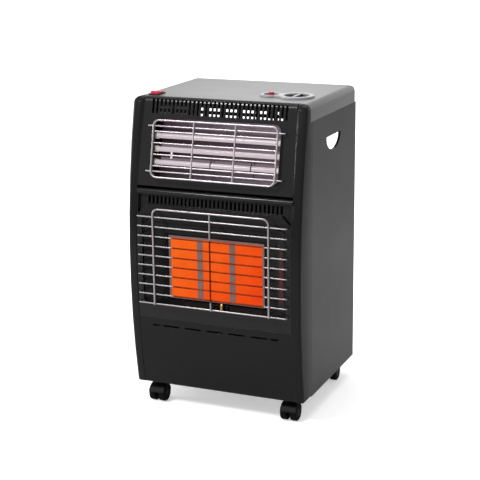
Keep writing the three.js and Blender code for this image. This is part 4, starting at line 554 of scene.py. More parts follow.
@dataclass(frozen=True)
class ChromedWire:
    """Bright chrome on drawn wire, dark red-brown where it crosses the burner: partly heat tint, partly
    painted shade of wires seen dark against the glowing plaques.
    """

    name: str
    bright: str = "#8f8b8d"
    # dark red-brown: heat tint with painted shade where the wire is seen against the glowing plaques
    browned_and_shaded: str = "#5c1e0c"
    roughness: float = 0.3
    hot_centre_mm: tuple[float, float, float] = (17.0, -200.0, 355.5)
    hot_half_mm: tuple[float, float, float] = (114.0, 200.0, 73.5)
    browning_and_shading: float = 1.0
    cloud_mm: float = 12.0

    def make(self) -> Material:
        """Build the chrome as a node material."""
        material, tree, surface = new_material(self.name)
        place = object_millimetres(tree)
        away = vector(tree, "SUBTRACT", place, self.hot_centre_mm)
        split = axes(tree, vector(tree, "ABSOLUTE", vector(tree, "DIVIDE", away, self.hot_half_mm)))
        most = calc(tree, "MAXIMUM", split["X"], split["Z"])
        # share of the red-brown: heat tint and painted shade over the burner
        heat = spread(tree, most, self.browning_and_shading, 0.0, 0.96, 1.02)
        cloud = noise(tree, place, self.cloud_mm, 3.0)
        shader = principled(tree, {
            "Base Color": blend(tree, heat, self.bright, self.browned_and_shaded),
            "Metallic": 1.0,
            "Roughness": spread(tree, cloud, self.roughness * 0.7, self.roughness * 1.3),
        })
        tree.links.new(shader.outputs["BSDF"], surface)
        return material


@dataclass(frozen=True)
class MarkedLens:
    """Red lens of the rocker, lit from below, with the on bar and the off ring printed white."""

    name: str = "polycarbonate_red_lit"
    colour: str = "#b51234"
    glow: float = 0.18
    middle_mm: tuple[float, float] = (-173.0, -95.5)
    mark_offset_mm: float = 8.0  # of each mark from the rocker's middle
    mark_half_mm: float = 3.0
    stroke_mm: float = 1.1
    cloud_mm: float = 6.0

    def make(self) -> Material:
        """Build the lens as a node material."""
        material, tree, surface = new_material(self.name)
        place = object_millimetres(tree)
        split = axes(tree, place)
        x = calc(tree, "SUBTRACT", split["X"], self.middle_mm[0])
        y = calc(tree, "SUBTRACT", split["Y"], self.middle_mm[1])
        wide = calc(tree, "LESS_THAN", calc(tree, "ABSOLUTE", x), self.mark_half_mm)
        off_bar = calc(tree, "ABSOLUTE", calc(tree, "ADD", y, self.mark_offset_mm))
        thin = calc(tree, "LESS_THAN", off_bar, self.stroke_mm / 2)
        bar = calc(tree, "MULTIPLY", wide, thin)
        back = calc(tree, "SUBTRACT", y, self.mark_offset_mm)
        squares = calc(tree, "ADD", calc(tree, "MULTIPLY", x, x), calc(tree, "MULTIPLY", back, back))
        radius = calc(tree, "SQRT", squares)
        middle = self.mark_half_mm - self.stroke_mm / 2
        off_ring = calc(tree, "ABSOLUTE", calc(tree, "SUBTRACT", radius, middle))
        ring = calc(tree, "LESS_THAN", off_ring, self.stroke_mm / 2)
        mark = calc(tree, "MAXIMUM", bar, ring)
        tint = blend(tree, mark, self.colour, "#e8e0e2")
        shader = principled(tree, {
            "Base Color": tint,
            "Roughness": spread(tree, noise(tree, place, self.cloud_mm, 1.0), 0.16, 0.24),
            "IOR": 1.585,
            "Emission Color": tint,
            "Emission Strength": self.glow,
        })
        tree.links.new(shader.outputs["BSDF"], surface)
        return material


SIDE_ENAMEL = StovedEnamel("stoved_enamel_grey", "#222122", "#272627", 0.34, specular=0.17)
# A lighter copy of the grey enamel of the sides: painted sheen that the top catches from the lamps.
TOP_ENAMEL_PAINTED_SHEEN = StovedEnamel("stoved_enamel_grey_top_painted_sheen", "#444446", "#4b4b4d", 0.3)
FRONT_ENAMEL = StovedEnamel("stoved_enamel_black_gloss", "#111112", "#151516", 0.2, specular=0.11)
FASCIA_ENAMEL = StovedEnamel("stoved_enamel_black_satin", "#171718", "#1c1b1c", 0.17, specular=0.14)
RECESS_ENAMEL = FurnaceEnamel()
# Black that stands in for the shade inside the cabinet behind the vents: painted shade.
SHIELD_PAINTED_SHADE = StovedEnamel("black_shield_painted_shade", "#0b0b0c", "#101011", 0.6, specular=0.08)
ZINCED = RolledMetal("zinc_plated_sheet", "#9a9c9e", "#85878a", 0.42)
HEAT_TINTED = RolledMetal("heat_tinted_stainless", "#84706c", "#6c5854", 0.5)
SCALED = RolledMetal("heat_scaled_sheet", "#2a2022", "#201819", 0.55)
DARK_STEEL = RolledMetal("scaled_steel_wire", "#2c2528", "#1e191b", 0.5, (3.0, 3.0, 12.0))
TURNED_BRASS = RolledMetal("turned_brass", "#c9a55a", "#b08c46", 0.28, (1.0, 8.0, 8.0))
DRAWN_COPPER = RolledMetal("drawn_copper", "#c8794e", "#a9603c", 0.3, (3.0, 3.0, 40.0))
CAST_ZAMAK = RolledMetal("diecast_zamak", "#a6a8aa", "#8f9194", 0.5, (3.0, 3.0, 3.0), 0.03)
CHROME_UPPER = ChromedWire("chromed_wire_upper", "#9a9397", browning_and_shading=0.0)
CHROME_LOWER = ChromedWire("chromed_wire_lower")
MIRRORED = TroughMirror()
BLACK_ABS = MouldedPlastic("abs_black", "#0d0d0e", "#121213", 0.42, specular=0.2)
CASTER_NYLON = MouldedPlastic("nylon_black", "#0a0a0b", "#0e0e0f", 0.5, specular=0.1)
TYRE_RUBBER = MouldedPlastic("thermoplastic_tyre", "#080809", "#0c0c0d", 0.7, specular=0.06)
SILVER_ABS = MouldedPlastic("abs_silver", "#8c8a8c", "#969496", 0.34, sunk="#0a0a0b", sunk_mm=733.8)
INLAY_SILVER = MouldedPlastic("silver_inlay", "#8e8c8e", "#989698", 0.3)
RED_ABS = MouldedPlastic("abs_red", "#9c0c34", "#8c0a2c", 0.2, grain_depth_mm=0.004)
RED_LENS = MarkedLens()
STEATITE = MouldedPlastic("steatite_unglazed", "#d8d2c8", "#cbc3b6", 0.75)
PLAQUE = GlowingPlaque()
QUARTZ = LitQuartz()
HOT_COIL = HotMetal("resistance_wire_white_hot", "#fff0f2", 1.0)
PILOT_FLAME = HotMetal("pilot_flame", "#ffc070", 2.0)


class Finishes:
    """Makes each finish's material once and gives it out."""

    def __init__(self) -> None:
        """Start with none made."""
        self.made: dict[str, Material] = {}

    def of(self, finish: object) -> Material:
        """Give a finish's material, made at its first use."""
        if finish.name not in self.made:
            self.made[finish.name] = finish.make()
        return self.made[finish.name]


finishes = Finishes()


# ---------------------------------------------------------------------------------------
# Mesh helpers
# ---------------------------------------------------------------------------------------


def smooth_by_angle() -> NodeTree:
    """Make the node group that joins split corners and smooths all but the sharp edges."""
    tree = bpy.data.node_groups.new("smooth_by_angle", "GeometryNodeTree")
    tree.interface.new_socket("Geometry", in_out="INPUT", socket_type="NodeSocketGeometry")
    tree.interface.new_socket("Geometry", in_out="OUTPUT", socket_type="NodeSocketGeometry")
    source = add(tree, "NodeGroupInput")
    merged = add(
        tree, "GeometryNodeMergeByDistance", None, {"Geometry": source.outputs[0], "Distance": JOIN_MM * MM}
    )
    angle = add(tree, "GeometryNodeInputMeshEdgeAngle")
    shallow = add(
        tree,
        "FunctionNodeCompare",
        {"data_type": "FLOAT", "operation": "LESS_THAN"},
        {0: angle.outputs["Unsigned Angle"], 1: math.radians(CREASE_DEGREES)},
    )
    faces = add(
        tree,
        "GeometryNodeSetShadeSmooth",
        {"domain": "FACE"},
        {"Geometry": merged.outputs["Geometry"], "Shade Smooth": True},
    )
    edges = add(
        tree,
        "GeometryNodeSetShadeSmooth",
        {"domain": "EDGE"},
        {"Geometry": faces.outputs["Geometry"], "Shade Smooth": shallow.outputs["Result"]},
    )
    add(tree, "NodeGroupOutput", None, {0: edges.outputs["Geometry"]})
    return tree


SMOOTHING = smooth_by_angle()


def dress(node: str, finish: object) -> None:
    """Give a CAD node its finish and smooth shading.

    Args:
        node: Name of the CAD node.
        finish: The finish that it takes.
    """
    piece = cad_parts[node]
    material = finishes.of(finish)
    if piece.material_slots:
        for slot in piece.material_slots:
            slot.material = material
    else:
        piece.data.materials.append(material)
    piece.modifiers.new("smooth_by_angle", "NODES").node_group = SMOOTHING


def piece_of(
    name: str,
    mesh: BMesh,
    finish: object,
    body: str,
    replaces: Sequence[str] = (),
    smooth: bool = True,
) -> Object:
    """Turn a built mesh into a piece of the heater.

    Args:
        name: Name of the piece.
        mesh: The mesh, in metres in the frame.
        finish: Its finish.
        body: The body that it rides on.
        replaces: CAD nodes that it stands for.
        smooth: Whether it is shaded smooth but for its sharp edges.

    Returns:
        The new object.
    """
    bmesh.ops.recalc_face_normals(mesh, faces=mesh.faces)
    data = bpy.data.meshes.new(name)
    mesh.to_mesh(data)
    mesh.free()
    made = bpy.data.objects.new(name, data)
    bpy.context.scene.collection.objects.link(made)
    data.materials.append(finishes.of(finish))
    if smooth:
        made.modifiers.new("smooth_by_angle", "NODES").node_group = SMOOTHING
    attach(made, body)
    if replaces:
        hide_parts(*replaces)
    log.info("made %s", name)
    return made


def place_of(x: float, y: float, z: float) -> Vector:
    """Give a point of the cabinet's own millimetres as a point of the frame in metres."""
    return Vector((x, y + FRAME_SHIFT, z)) * MM


def rounded(corners: Sequence[Vector], radius: float, steps: int, closed: bool = False) -> list[Vector]:
    """Round the corners of a line of points.

    Args:
        corners: The corners, in metres.
        radius: Bend radius, in metres.
        steps: Steps in each bend.
        closed: Whether the line comes back to its start.

    Returns:
        The points of the rounded line.
    """
    count = len(corners)
    path: list[Vector] = []
    for index, corner in enumerate(corners):
        if not closed and index in (0, count - 1):
            path.append(corner.copy())
            continue
        back = (corners[index - 1] - corner).normalized()
        ahead = (corners[(index + 1) % count] - corner).normalized()
        half = back.angle(ahead) / 2
        reach = radius / math.tan(half)
        middle = corner + (back + ahead).normalized() * (radius / math.sin(half))
        start = corner + back * reach - middle
        axis = ahead.cross(back).normalized()
        for step in range(steps + 1):
            turn = Matrix.Rotation((math.pi - 2 * half) * step / steps, 3, axis)
            path.append(turn @ start + middle)
    return path


def sweep(
    mesh: BMesh, path: Sequence[Vector], radius: float, sides: int = 12, closed: bool = False
) -> None:
    """Sweep a round section along a path.

    Args:
        mesh: Takes the faces.
        path: Points of the middle line, in metres.
        radius: Radius of the section, in metres.
        sides: Sides of the section.
        closed: Whether the path is a loop.
    """
    count = len(path)
    tangents = []
    for index in range(count):
        before = path[index - 1] if closed or index else path[index]
        after = path[(index + 1) % count] if closed or index < count - 1 else path[index]
        tangents.append((after - before).normalized())
    side = tangents[0].orthogonal().normalized()
    rings = []
    for point, tangent in zip(path, tangents):
        side = (side - tangent * side.dot(tangent)).normalized()
        other = tangent.cross(side)
        angles = [2 * math.pi * (k + 0.5) / sides for k in range(sides)]
        spokes = [side * math.cos(a) + other * math.sin(a) for a in angles]
        rings.append([mesh.verts.new(point + spoke * radius) for spoke in spokes])
    pairs = list(zip(rings, rings[1:]))
    if closed:
        pairs.append((rings[-1], rings[0]))
    for low, high in pairs:
        for k in range(sides):
            after = (k + 1) % sides
            mesh.faces.new((low[k], low[after], high[after], high[k]))
    if not closed:
        mesh.faces.new(list(reversed(rings[0])))
        mesh.faces.new(rings[-1])


def revolve(
    mesh: BMesh, profile: Sequence[tuple[float, float]], where: Matrix, segments: int = 48
) -> None:
    """Turn a closed or open profile round the local Z axis.

    Args:
        mesh: Takes the faces.
        profile: Radius and height pairs, in millimetres; a radius of 0 closes the form.
        where: Matrix from the local frame to the model's frame, in metres.
        segments: Segments round the axis.
    """
    rings: list[list[BMVert]] = []
    for radius, height in profile:
        count = segments if radius > 0 else 1
        turns = [2 * math.pi * k / segments for k in range(count)]
        points = [Vector((radius * math.cos(a), radius * math.sin(a), height)) * MM for a in turns]
        rings.append([mesh.verts.new(where @ point) for point in points])
    for low, high in zip(rings, rings[1:]):
        for k in range(segments):
            after = (k + 1) % segments
            ring = [low[k % len(low)], low[after % len(low)], high[after % len(high)], high[k % len(high)]]
            corners = list(dict.fromkeys(ring))
            if len(corners) > 2:
                mesh.faces.new(corners)


def turned_to(point: Vector, facing: Sequence[float]) -> Matrix:
    """Give the matrix that stands local Z along a direction at a point."""
    return Matrix.Translation(point) @ Vector(facing).to_track_quat("Z", "Y").to_matrix().to_4x4()


def block(mesh: BMesh, low: Sequence[float], high: Sequence[float]) -> None:
    """Add a plain bar between two corners, in the frame's millimetres."""
    middle = (Vector(low) + Vector(high)) / 2 * MM
    size = (Vector(high) - Vector(low)) * MM
    bmesh.ops.create_cube(mesh, size=1.0, matrix=Matrix.Translation(middle) @ Matrix.Diagonal((*size, 1.0)))


# ---------------------------------------------------------------------------------------
# Sub-assemblies
# ---------------------------------------------------------------------------------------


@dataclass(frozen=True)
class PanScrew:
    """Zinc-plated pan-head screw with a round drive well."""

    radius: float = 3.2
    rise: float = 1.7
    well_radius: float = 1.3
    well_depth: float = 1.0

    def drive(self, mesh: BMesh, where: Vector, facing: Facing) -> None:
        """Set one screw head.

        Args:
            mesh: Takes the head.
            where: Middle of its seat, in metres.
            facing: The way that it looks out.
        """
        floor = self.rise - self.well_depth
        profile = [
            (0.0, floor),
            (self.well_radius, floor),
            (self.well_radius, self.rise),
            (self.radius * 0.6, self.rise * 0.92),
            (self.radius * 0.9, self.rise * 0.6),
            (self.radius, 0.0),
            (0.0, 0.0),
        ]
        revolve(mesh, profile, turned_to(where, facing.value), 20)


@dataclass
class Cabinet:
    """The painted shell: top cover, sides, surround, tray and rear."""

    enamel_sides: tuple[str, ...] = ("side_panel_left", "side_panel_right", "rear_cover", "rear_crossbar")
    screw: PanScrew = PanScrew()
    flange_x: float = 206.9
    flange_screws: tuple[float, ...] = (110.0, 380.0, 640.0)
    cover_screws: tuple[float, ...] = (-180.0, -60.0, 60.0, 180.0)
    cover_screw_z: float = 705.0

    def screws(self) -> Object:
        """Set the screws of the side panels' rear flanges and of the top cover."""
        mesh = bmesh.new()
        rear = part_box("side_panel_left")[1].y
        for side in (-1, 1):
            for z in self.flange_screws:
                self.screw.drive(mesh, Vector((side * self.flange_x * MM, rear, z * MM)), Facing.REAR)
        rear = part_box("top_cover")[1].y
        for x in self.cover_screws:
            self.screw.drive(mesh, Vector((x * MM, rear, self.cover_screw_z * MM)), Facing.REAR)
        return piece_of("cabinet_screws", mesh, ZINCED, Body.CABINET.value)

    def dress(self) -> None:
        """Give the shell its finishes and its screws."""
        dress("top_cover", TOP_ENAMEL_PAINTED_SHEEN)
        for node in self.enamel_sides:
            dress(node, SIDE_ENAMEL)
        dress("front_surround", FRONT_ENAMEL)
        dress("upper_fascia", FASCIA_ENAMEL)
        dress("lower_fascia", FASCIA_ENAMEL)
        dress("burner_recess", RECESS_ENAMEL)
        dress("base_tray", ZINCED)
        dress("inner_shield", SHIELD_PAINTED_SHADE)
        dress("cable_gland", BLACK_ABS)
        self.screws()


@dataclass
class GasBurner:
    """Burner with its plaques, manifold and pilot."""

    plaques: int = 3
    flame_radius: float = 2.0
    flame_rise: float = 4.5

    def flame(self) -> Object:
        """Light the small flame that stands at the pilot's port."""
        low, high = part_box("pilot_burner")
        seat = Vector(((low.x + high.x) / 2, (low.y + high.y) / 2, high.z))
        radius, rise = self.flame_radius, self.flame_rise
        profile = [
            (0.0, 0.3),
            (radius * 0.8, 0.9),
            (radius, rise * 0.3),
            (radius * 0.5, rise * 0.7),
            (0.0, rise),
        ]
        mesh = bmesh.new()
        revolve(mesh, profile, Matrix.Translation(seat), 16)
        return piece_of("pilot_flame", mesh, PILOT_FLAME, Body.CABINET.value)

    def dress(self) -> None:
        """Give the burner its finishes."""
        for number in range(1, self.plaques + 1):
            dress(f"ceramic_plaque_{number}", PLAQUE)
        dress("burner_frame", HEAT_TINTED)
        dress("burner_housing", SCALED)
        for node in ("gas_manifold", "pilot_bracket"):
            dress(node, ZINCED)
        dress("pilot_burner", TURNED_BRASS)
        dress("spark_electrode", DARK_STEEL)
        dress("thermocouple", DARK_STEEL)
        self.flame()


@dataclass
class RecessSplays:
    """The left, upper and right walls that splay from the recess floor out to its mouth."""

    # half width, low edge, high edge and corner of each outline
    floor: tuple[float, float, float, float] = (150.0, 268.0, 436.0, 8.0)
    mouth: tuple[float, float, float, float] = (176.0, 258.0, 474.0, 14.0)
    floor_y: float = -166.65
    mouth_y: float = -180.65
    sheet: float = 1.0
    corner_steps: int = 6

    def outline(self, shape: Sequence[float], grow: float, y: float) -> list[Vector]:
        """Give a rounded outline from the lower right corner over the top to the lower left.

        Args:
            shape: Half width, low edge, high edge and corner radius, in millimetres.
            grow: How far the outline is moved outwards.
            y: Its depth in the frame.

        Returns:
            Its points, in metres.
        """
        half, low, high, corner = shape
        centres = ((half - corner, low + corner), (half - corner, high - corner))
        radius = corner + grow
        points = []
        for turn, (x, z) in zip((-90.0, 0.0), centres):
            for step in range(self.corner_steps + 1):
                angle = math.radians(turn + 90.0 * step / self.corner_steps)
                points.append(Vector((x + radius * math.cos(angle), y, z + radius * math.sin(angle))) * MM)
        return points + [Vector((-p.x, p.y, p.z)) for p in reversed(points)]

    def build(self) -> Object:
        """Fold the sheet between the two outlines."""
        lines = (
            self.outline(self.floor, 0.0, self.floor_y),
            self.outline(self.mouth, 0.0, self.mouth_y),
            self.outline(self.mouth, self.sheet, self.mouth_y),
            self.outline(self.floor, self.sheet, self.floor_y),
        )
        mesh = bmesh.new()
        sections = [[mesh.verts.new(point) for point in points] for points in zip(*lines)]
        for before, after in zip(sections, sections[1:]):
            for k in range(4):
                mesh.faces.new((before[k], before[(k + 1) % 4], after[(k + 1) % 4], after[k]))
        mesh.faces.new(sections[0])
        mesh.faces.new(list(reversed(sections[-1])))
        return piece_of("recess_splays", mesh, RECESS_ENAMEL, Body.CABINET.value)


@dataclass
class GasTap:
    """Tap, bracket, pipes and nozzle under the top cover."""

    def dress(self) -> None:
        """Give the tap its finishes."""
        dress("gas_valve", CAST_ZAMAK)
        dress("valve_bracket", ZINCED)
        for node in ("valve_stem", "hose_nozzle"):
            dress(node, TURNED_BRASS)
        for node in ("supply_pipe", "pilot_pipe"):
            dress(node, DRAWN_COPPER)


@dataclass
class Controls:
    """Knob, igniter button and rocker switch on the top."""

    inlay_width: float = 5.4
    inlay_inset: float = 4.6  # of its ends from the knob's edge
    inlay_rise: float = 0.35

    def inlay(self) -> Object:
        """Lay the silver strip that marks the knob's setting along its grip."""
        low, high = (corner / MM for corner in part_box("control_knob"))
        middle = (low.x + high.x) / 2
        half = self.inlay_width / 2
        mesh = bmesh.new()
        block(
            mesh,
            (middle - half, low.y + self.inlay_inset, high.z),
            (middle + half, high.y - self.inlay_inset, high.z + self.inlay_rise),
        )
        return piece_of("knob_inlay", mesh, INLAY_SILVER, Body.KNOB.value, smooth=False)

    def dress(self) -> None:
        """Give the controls their finishes."""
        dress("control_plate", SILVER_ABS)
        for node in ("control_knob", "piezo_igniter", "switch_housing", "tilt_switch"):
            dress(node, BLACK_ABS)
        dress("igniter_button", RED_ABS)
        dress("switch_rocker", RED_LENS)
        dress("terminal_block", STEATITE)
        self.inlay()


@dataclass
class ElectricSection:
    """Quartz tubes with their wound coils before the polished reflector."""

    tilt: float = 11.8396  # degrees, the lean of the section
    middle: tuple[float, float] = (-198.274, 623.0)  # Y and Z of the guard's middle
    tube_depth: float = 27.0
    tube_pitch: float = 30.0
    coil_half: float = 145.0
    coil_radius: float = 3.0
    coil_wire: float = 0.55
    coil_pitch: float = 2.6
    support_xs: tuple[float, ...] = (-14.3, 83.5)  # of the wires that hold the lowest tube
    support_radius: float = 1.1
    lead_x: float = -112.0  # where the ceramic strap of the lead stands
    lead_width: float = 5.0
    lead_start: float = -147.0
    lead_lift: float = 2.0
    lead_radius: float = 1.4
    strap_half: float = 7.5
    tube_radius: float = 5.5
    clip_start: float = -60.0  # degrees round the tube
    clip_step: float = 25.0
    clip_steps: int = 12
    clip_foot: tuple[tuple[float, float], ...] = ((-2.0, 6.2), (-1.0, 17.0))  # depth, height

    def local(self) -> Matrix:
        """Give the matrix from the section's own millimetres to the frame."""
        origin = place_of(0, *self.middle)
        lean = Matrix.Rotation(-math.radians(self.tilt), 4, "X")
        return Matrix.Translation(origin) @ lean @ Matrix.Scale(MM, 4)

    def coil(self, number: int) -> Object:
        """Wind one coil in place of its plain rod."""
        height = (number - 2) * self.tube_pitch
        turns = 2 * self.coil_half / self.coil_pitch
        steps = int(turns * 10)
        where = self.local()
        path = []
        for step in range(steps + 1):
            share = step / steps
            angle = 2 * math.pi * turns * share
            path.append(
                where
                @ Vector((
                    -self.coil_half + 2 * self.coil_half * share,
                    self.tube_depth + self.coil_radius * math.cos(angle),
                    height + self.coil_radius * math.sin(angle),
                ))
            )
        mesh = bmesh.new()
        sweep(mesh, path, self.coil_wire * MM, 5)
        for side in (-1, 1):
            lead = [Vector((side * x, self.tube_depth, height)) for x in (self.coil_half, 158.5)]
            sweep(mesh, [where @ p for p in lead], 0.9 * MM, 8)
        plain = [f"heating_coil_{number}"]
        return piece_of(f"wound_coil_{number}", mesh, HOT_COIL, Body.CABINET.value, plain)

    def supports(self) -> Object:
        """Bend the dark wire clips that carry the lowest tube at two places."""
        where = self.local()
        height = -self.tube_pitch
        reach = self.tube_radius + self.support_radius
        mesh = bmesh.new()
        for x in self.support_xs:
            clip = []
            for step in range(self.clip_steps + 1):
                angle = math.radians(self.clip_start + self.clip_step * step)
                depth = self.tube_depth - reach * math.sin(angle)
                clip.append(where @ Vector((x, depth, height + reach * math.cos(angle))))
            sweep(mesh, clip, self.support_radius * MM, 8)
            foot = [where @ Vector((x, self.tube_depth + back, height + up)) for back, up in self.clip_foot]
            sweep(mesh, foot, self.support_radius * MM, 8)
        return piece_of("tube_clips", mesh, DARK_STEEL, Body.CABINET.value)

    def lead(self) -> Object:
        """Run the pale sleeved lead of the middle coil to its strap."""
        where = self.local()
        height = self.lead_lift - self.tube_pitch / 2
        depth = self.tube_depth - 1
        mesh = bmesh.new()
        run = [where @ Vector((x, depth, height)) for x in (self.lead_start, self.lead_x)]
        sweep(mesh, run, self.lead_radius * MM, 8)
        ends = (-self.strap_half, self.strap_half)
        strap = [where @ Vector((self.lead_x, depth - 1, height + rise)) for rise in ends]
        sweep(mesh, strap, self.lead_width / 2 * MM, 8)
        return piece_of("sleeved_lead", mesh, STEATITE, Body.CABINET.value)

    def dress(self) -> None:
        """Wind the coils and give the section its finishes."""
        self.supports()
        self.lead()
        for number in (1, 2, 3):
            self.coil(number)
            dress(f"quartz_tube_{number}", QUARTZ)
        dress("element_reflector", MIRRORED)
        for side in ("left", "right"):
            dress(f"element_bracket_{side}", STEATITE)


@dataclass
class WireGuards:
    """The two welded wire guards, drawn with round wire over the frame's plain ones."""

    wire: float = 3.5
    frame_wire: float = 4.4
    corner: float = 14.0
    bend: float = 4.0
    weld: float = 0.7
    upper_half: float = 150.0
    upper_height: float = 64.37  # half, along the lean
    upper_pitch: float = 26.0
    upper_carrier: float = 51.2
    upper_carrier_half: float = 165.0
    upper_carrier_back: float = 13.9
    upper_upright: float = 50.5
    lower_y: float = -225.0
    lower_half: float = 141.0
    lower_top: float = 489.0
    lower_first: float = 264.4
    lower_pitch: float = 22.8
    lower_count: int = 10
    lower_wire_half: float = 182.0
    bow_top: tuple[float, float] = (-165.0, 734.0)  # Y and Z of the ends of the front's bow
    bow_bottom: tuple[float, float] = (-188.0, 54.0)
    bow_sagitta: float = 36.0
    fascia_step: float = 1.5  # of the fascia behind the bow

    @property
    def behind(self) -> float:
        """How far a crossing wire's middle lies behind the frame's."""
        return self.frame_wire / 2 + self.wire / 2 - self.weld

    def upper(self, section: ElectricSection) -> Object:
        """Build the upper guard on the section's lean."""
        where = section.local()
        mesh = bmesh.new()
        half, high = self.upper_half, self.upper_height

        def run(points: Sequence[tuple[float, float, float]], radius: float, closed: bool = False) -> None:
            """Sweep one wire of the guard."""
            corners = [where @ Vector(p) for p in points]
            bend = (self.corner if closed else self.bend) * MM
            path = rounded(corners, bend, 8, closed) if len(corners) > 2 else corners
            sweep(mesh, path, radius * MM, 12, closed)

        hoop = [(-half, 0, -high), (half, 0, -high), (half, 0, high), (-half, 0, high)]
        run(hoop, self.frame_wire / 2, True)
        for index in range(4):
            z = (index - 1.5) * self.upper_pitch
            run([(-half, self.behind, z), (half, self.behind, z)], self.wire / 2)
        for z in (-self.upper_carrier, self.upper_carrier):
            end, back = self.upper_carrier_half, self.upper_carrier_back
            carrier = [(-end, back, z), (-end, self.behind, z), (end, self.behind, z), (end, back, z)]
            run(carrier, self.wire / 2)
        for x in (-self.upper_upright, self.upper_upright):
            run([(x, 0, -high), (x, 0, high)], self.wire / 2)
        return piece_of(
            "upper_guard_round", mesh, CHROME_UPPER, Body.CABINET.value, ["upper_guard"]
        )

    def fascia_y(self, z: float) -> float:
        """Give the lower fascia's Y behind the guard at a height."""
        (top_y, top_z), (bottom_y, bottom_z) = self.bow_top, self.bow_bottom
        lean, rise = top_y - bottom_y, top_z - bottom_z
        chord = math.hypot(lean, rise)
        radius = ((chord / 2) ** 2 + self.bow_sagitta**2) / (2 * self.bow_sagitta)
        back = radius - self.bow_sagitta
        centre_y = (top_y + bottom_y) / 2 + back * rise / chord
        centre_z = (top_z + bottom_z) / 2 - back * lean / chord
        return centre_y - math.sqrt(radius**2 - (z - centre_z) ** 2) + self.fascia_step

    def lower(self) -> Object:
        """Build the lower guard: a hoop, one upright and ten wires hooked back at the ends."""
        mesh = bmesh.new()
        y, half, top = self.lower_y, self.lower_half, self.lower_top
        foot = self.lower_first - self.wire / 2
        hoop = [place_of(*p) for p in ((-half, y, foot), (-half, y, top), (half, y, top), (half, y, foot))]
        sweep(mesh, rounded(hoop, self.corner * MM, 10), self.frame_wire / 2 * MM, 14)
        sweep(mesh, [place_of(0, y, foot), place_of(0, y, top)], self.wire / 2 * MM)
        wire_y = y + self.behind
        end = self.lower_wire_half
        for index in range(self.lower_count):
            z = self.lower_first + index * self.lower_pitch
            back = self.fascia_y(z) - 0.3
            hooks = ((-end, back, z), (-end, wire_y, z), (end, wire_y, z), (end, back, z))
            line = [place_of(*p) for p in hooks]
            sweep(mesh, rounded(line, self.bend * MM, 8), self.wire / 2 * MM)
        return piece_of(
            "lower_guard_round", mesh, CHROME_LOWER, Body.CABINET.value, ["lower_guard"]
        )


@dataclass
class Casters:
    """Four twin-wheel swivel casters."""

    count: int = 4
    hub_radius: float = 9.0
    hub_rise: float = 0.5
    hub_ring: float = 1.2

    def hubs(self, number: int) -> Object:
        """Cap both outer faces of one caster's wheels."""
        node = f"{Body.WHEELS.value}_{number}"
        low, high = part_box(node)
        axle_y = (low.y + high.y) / 2
        axle_z = (low.z + high.z) / 2
        radius, rise, ring = self.hub_radius, self.hub_rise, self.hub_ring
        profile = [
            (0.0, rise * 0.4),
            (radius - 2 * ring, rise * 0.4),
            (radius - ring, rise),
            (radius, rise * 0.6),
            (radius, 0.0),
            (0.0, 0.0),
        ]
        mesh = bmesh.new()
        for x, facing in ((low.x, Facing.LEFT), (high.x, Facing.RIGHT)):
            revolve(mesh, profile, turned_to(Vector((x, axle_y, axle_z)), facing.value), 32)
        return piece_of(f"caster_hubs_{number}", mesh, CASTER_NYLON, node)

    def dress(self) -> None:
        """Give the casters their finishes."""
        for number in range(1, self.count + 1):
            dress(f"caster_mount_{number}", ZINCED)
            dress(f"caster_hood_{number}", CASTER_NYLON)
            dress(f"caster_wheels_{number}", TYRE_RUBBER)
            self.hubs(number)


@dataclass(frozen=True)
class Softbox:
    """A soft lamp: its place and aim in metres, its width and height, and its power in watts."""

    name: str
    where: tuple[float, float, float]
    aim: tuple[float, float, float]
    size: tuple[float, float]
    watts: float

    def hang(self) -> None:
        """Hang the lamp in the scene."""
        data = bpy.data.lights.new(self.name, "AREA")
        data.shape = "ELLIPSE"
        data.size, data.size_y = self.size
        data.energy = self.watts
        lamp = bpy.data.objects.new(self.name, data)
        lamp.location = self.where
        lamp.rotation_euler = (Vector(self.aim) - Vector(self.where)).to_track_quat("-Z", "Y").to_euler()
        bpy.context.scene.collection.objects.link(lamp)


LAMPS = (
    Softbox("overhead", (0.2, 0.3, 2.6), (0, 0, 0.4), (1.6, 1.6), 24),
    Softbox("upper_left", (-1.02, -1.9, 2.4), (0, -0.17, 0.53), (0.24, 0.7), 60),
    Softbox("left", (-2.0, -0.5, 0.9), (-0.2, -0.19, 0.5), (0.5, 1.5), 22),
    Softbox("behind", (-0.75, 2.1, 1.35), (0, 0, 0.75), (1.0, 0.45), 1.2),
)


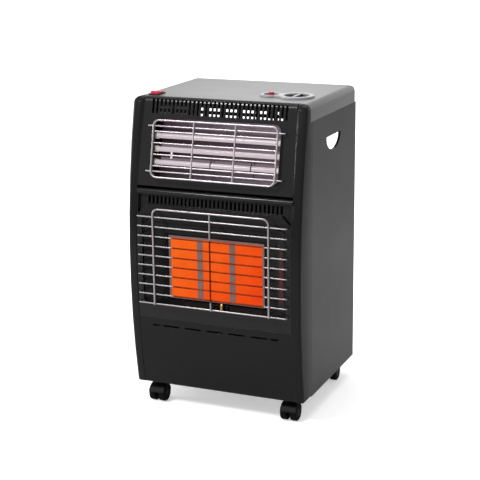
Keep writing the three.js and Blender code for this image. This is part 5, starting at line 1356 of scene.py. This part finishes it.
@dataclass
class Studio:
    """Pale floor, soft light and the camera at the photograph's place."""

    camera: tuple[float, float, float] = (1.14896, -2.72364, 1.16841)
    azimuth: float = 23.083
    elevation: float = 14.941
    roll: float = -0.64
    lens: float = 96.4835
    ambient: float = 0.75
    floor_half: float = 30.0
    clear_near: float = 0.5  # metres from the heater within which the floor keeps its shadow
    clear_far: float = 1.1
    lift_near: float = 0.43

    def world(self) -> None:
        """Light from all round, with a white backdrop for the camera and in reflections."""
        world = bpy.data.worlds.new("studio")
        world.use_nodes = True
        bpy.context.scene.world = world
        tree = world.node_tree
        tree.nodes.clear()
        ray = add(tree, "ShaderNodeLightPath")
        seen = calc(tree, "MAXIMUM", ray.outputs["Is Camera Ray"], ray.outputs["Is Glossy Ray"])
        through = calc(tree, "MAXIMUM", seen, ray.outputs["Is Transmission Ray"])
        level = spread(tree, through, self.ambient, 1.0)
        back = add(tree, "ShaderNodeBackground", None, {"Color": (1, 1, 1, 1), "Strength": level})
        add(tree, "ShaderNodeOutputWorld", None, {"Surface": back.outputs["Background"]})

    def floor(self) -> None:
        """Lay a pale floor that runs into the white backdrop and keeps the heater's shadow."""
        material, tree, surface = new_material("studio_floor")
        matte = add(tree, "ShaderNodeBsdfDiffuse", None, {"Color": (0.8, 0.8, 0.8, 1)})
        ray = add(tree, "ShaderNodeLightPath")
        place = add(tree, "ShaderNodeTexCoord")
        away = add(tree, "ShaderNodeVectorMath", {"operation": "LENGTH"}, {"Vector": place.outputs["Object"]})
        lift = spread(tree, away.outputs["Value"], self.lift_near, 1.0, self.clear_near, self.clear_far)
        power = calc(tree, "MULTIPLY", ray.outputs["Is Camera Ray"], lift)
        glow = add(tree, "ShaderNodeEmission", None, {"Color": (1, 1, 1, 1), "Strength": power})
        both = add(tree, "ShaderNodeAddShader", None, {0: matte.outputs["BSDF"], 1: glow.outputs["Emission"]})
        tree.links.new(both.outputs["Shader"], surface)
        half = self.floor_half
        mesh = bpy.data.meshes.new("floor")
        corners = [(-half, -half, 0), (half, -half, 0), (half, half, 0), (-half, half, 0)]
        mesh.from_pydata(corners, [], [(0, 1, 2, 3)])
        mesh.materials.append(material)
        floor = bpy.data.objects.new("floor", mesh)
        bpy.context.scene.collection.objects.link(floor)

    def lamps(self) -> None:
        """Hang the lamps."""
        for lamp in LAMPS:
            lamp.hang()

    def shoot(self) -> None:
        """Set up the camera."""
        azimuth, elevation, roll = (math.radians(a) for a in (self.azimuth, self.elevation, self.roll))
        back = Vector((
            math.sin(azimuth) * math.cos(elevation),
            -math.cos(azimuth) * math.cos(elevation),
            math.sin(elevation),
        ))
        level = Vector((math.cos(azimuth), math.sin(azimuth), 0))
        up = back.cross(level)
        right = level * math.cos(roll) + up * math.sin(roll)
        head = up * math.cos(roll) - level * math.sin(roll)
        data = bpy.data.cameras.new("camera")
        data.lens = self.lens
        data.sensor_width = 36.0
        camera = bpy.data.objects.new("camera", data)
        turn = Matrix((right, head, back)).transposed().to_4x4()
        camera.matrix_world = Matrix.Translation(self.camera) @ turn
        bpy.context.scene.collection.objects.link(camera)
        bpy.context.scene.camera = camera

    def build(self) -> None:
        """Set the whole studio up."""
        self.world()
        self.floor()
        self.lamps()
        self.shoot()
        bpy.context.scene.view_settings.view_transform = "Standard"


def main() -> None:
    """Build the studio and dress every sub-assembly in order."""
    logging.basicConfig(level=logging.INFO, format="%(name)s: %(message)s")
    Studio().build()
    Cabinet().dress()
    RecessSplays().build()
    GasBurner().dress()
    GasTap().dress()
    Controls().dress()
    electric = ElectricSection()
    electric.dress()
    guards = WireGuards()
    guards.upper(electric)
    guards.lower()
    Casters().dress()
    log.info("sizes written")


if __name__ == "__main__":
    main()
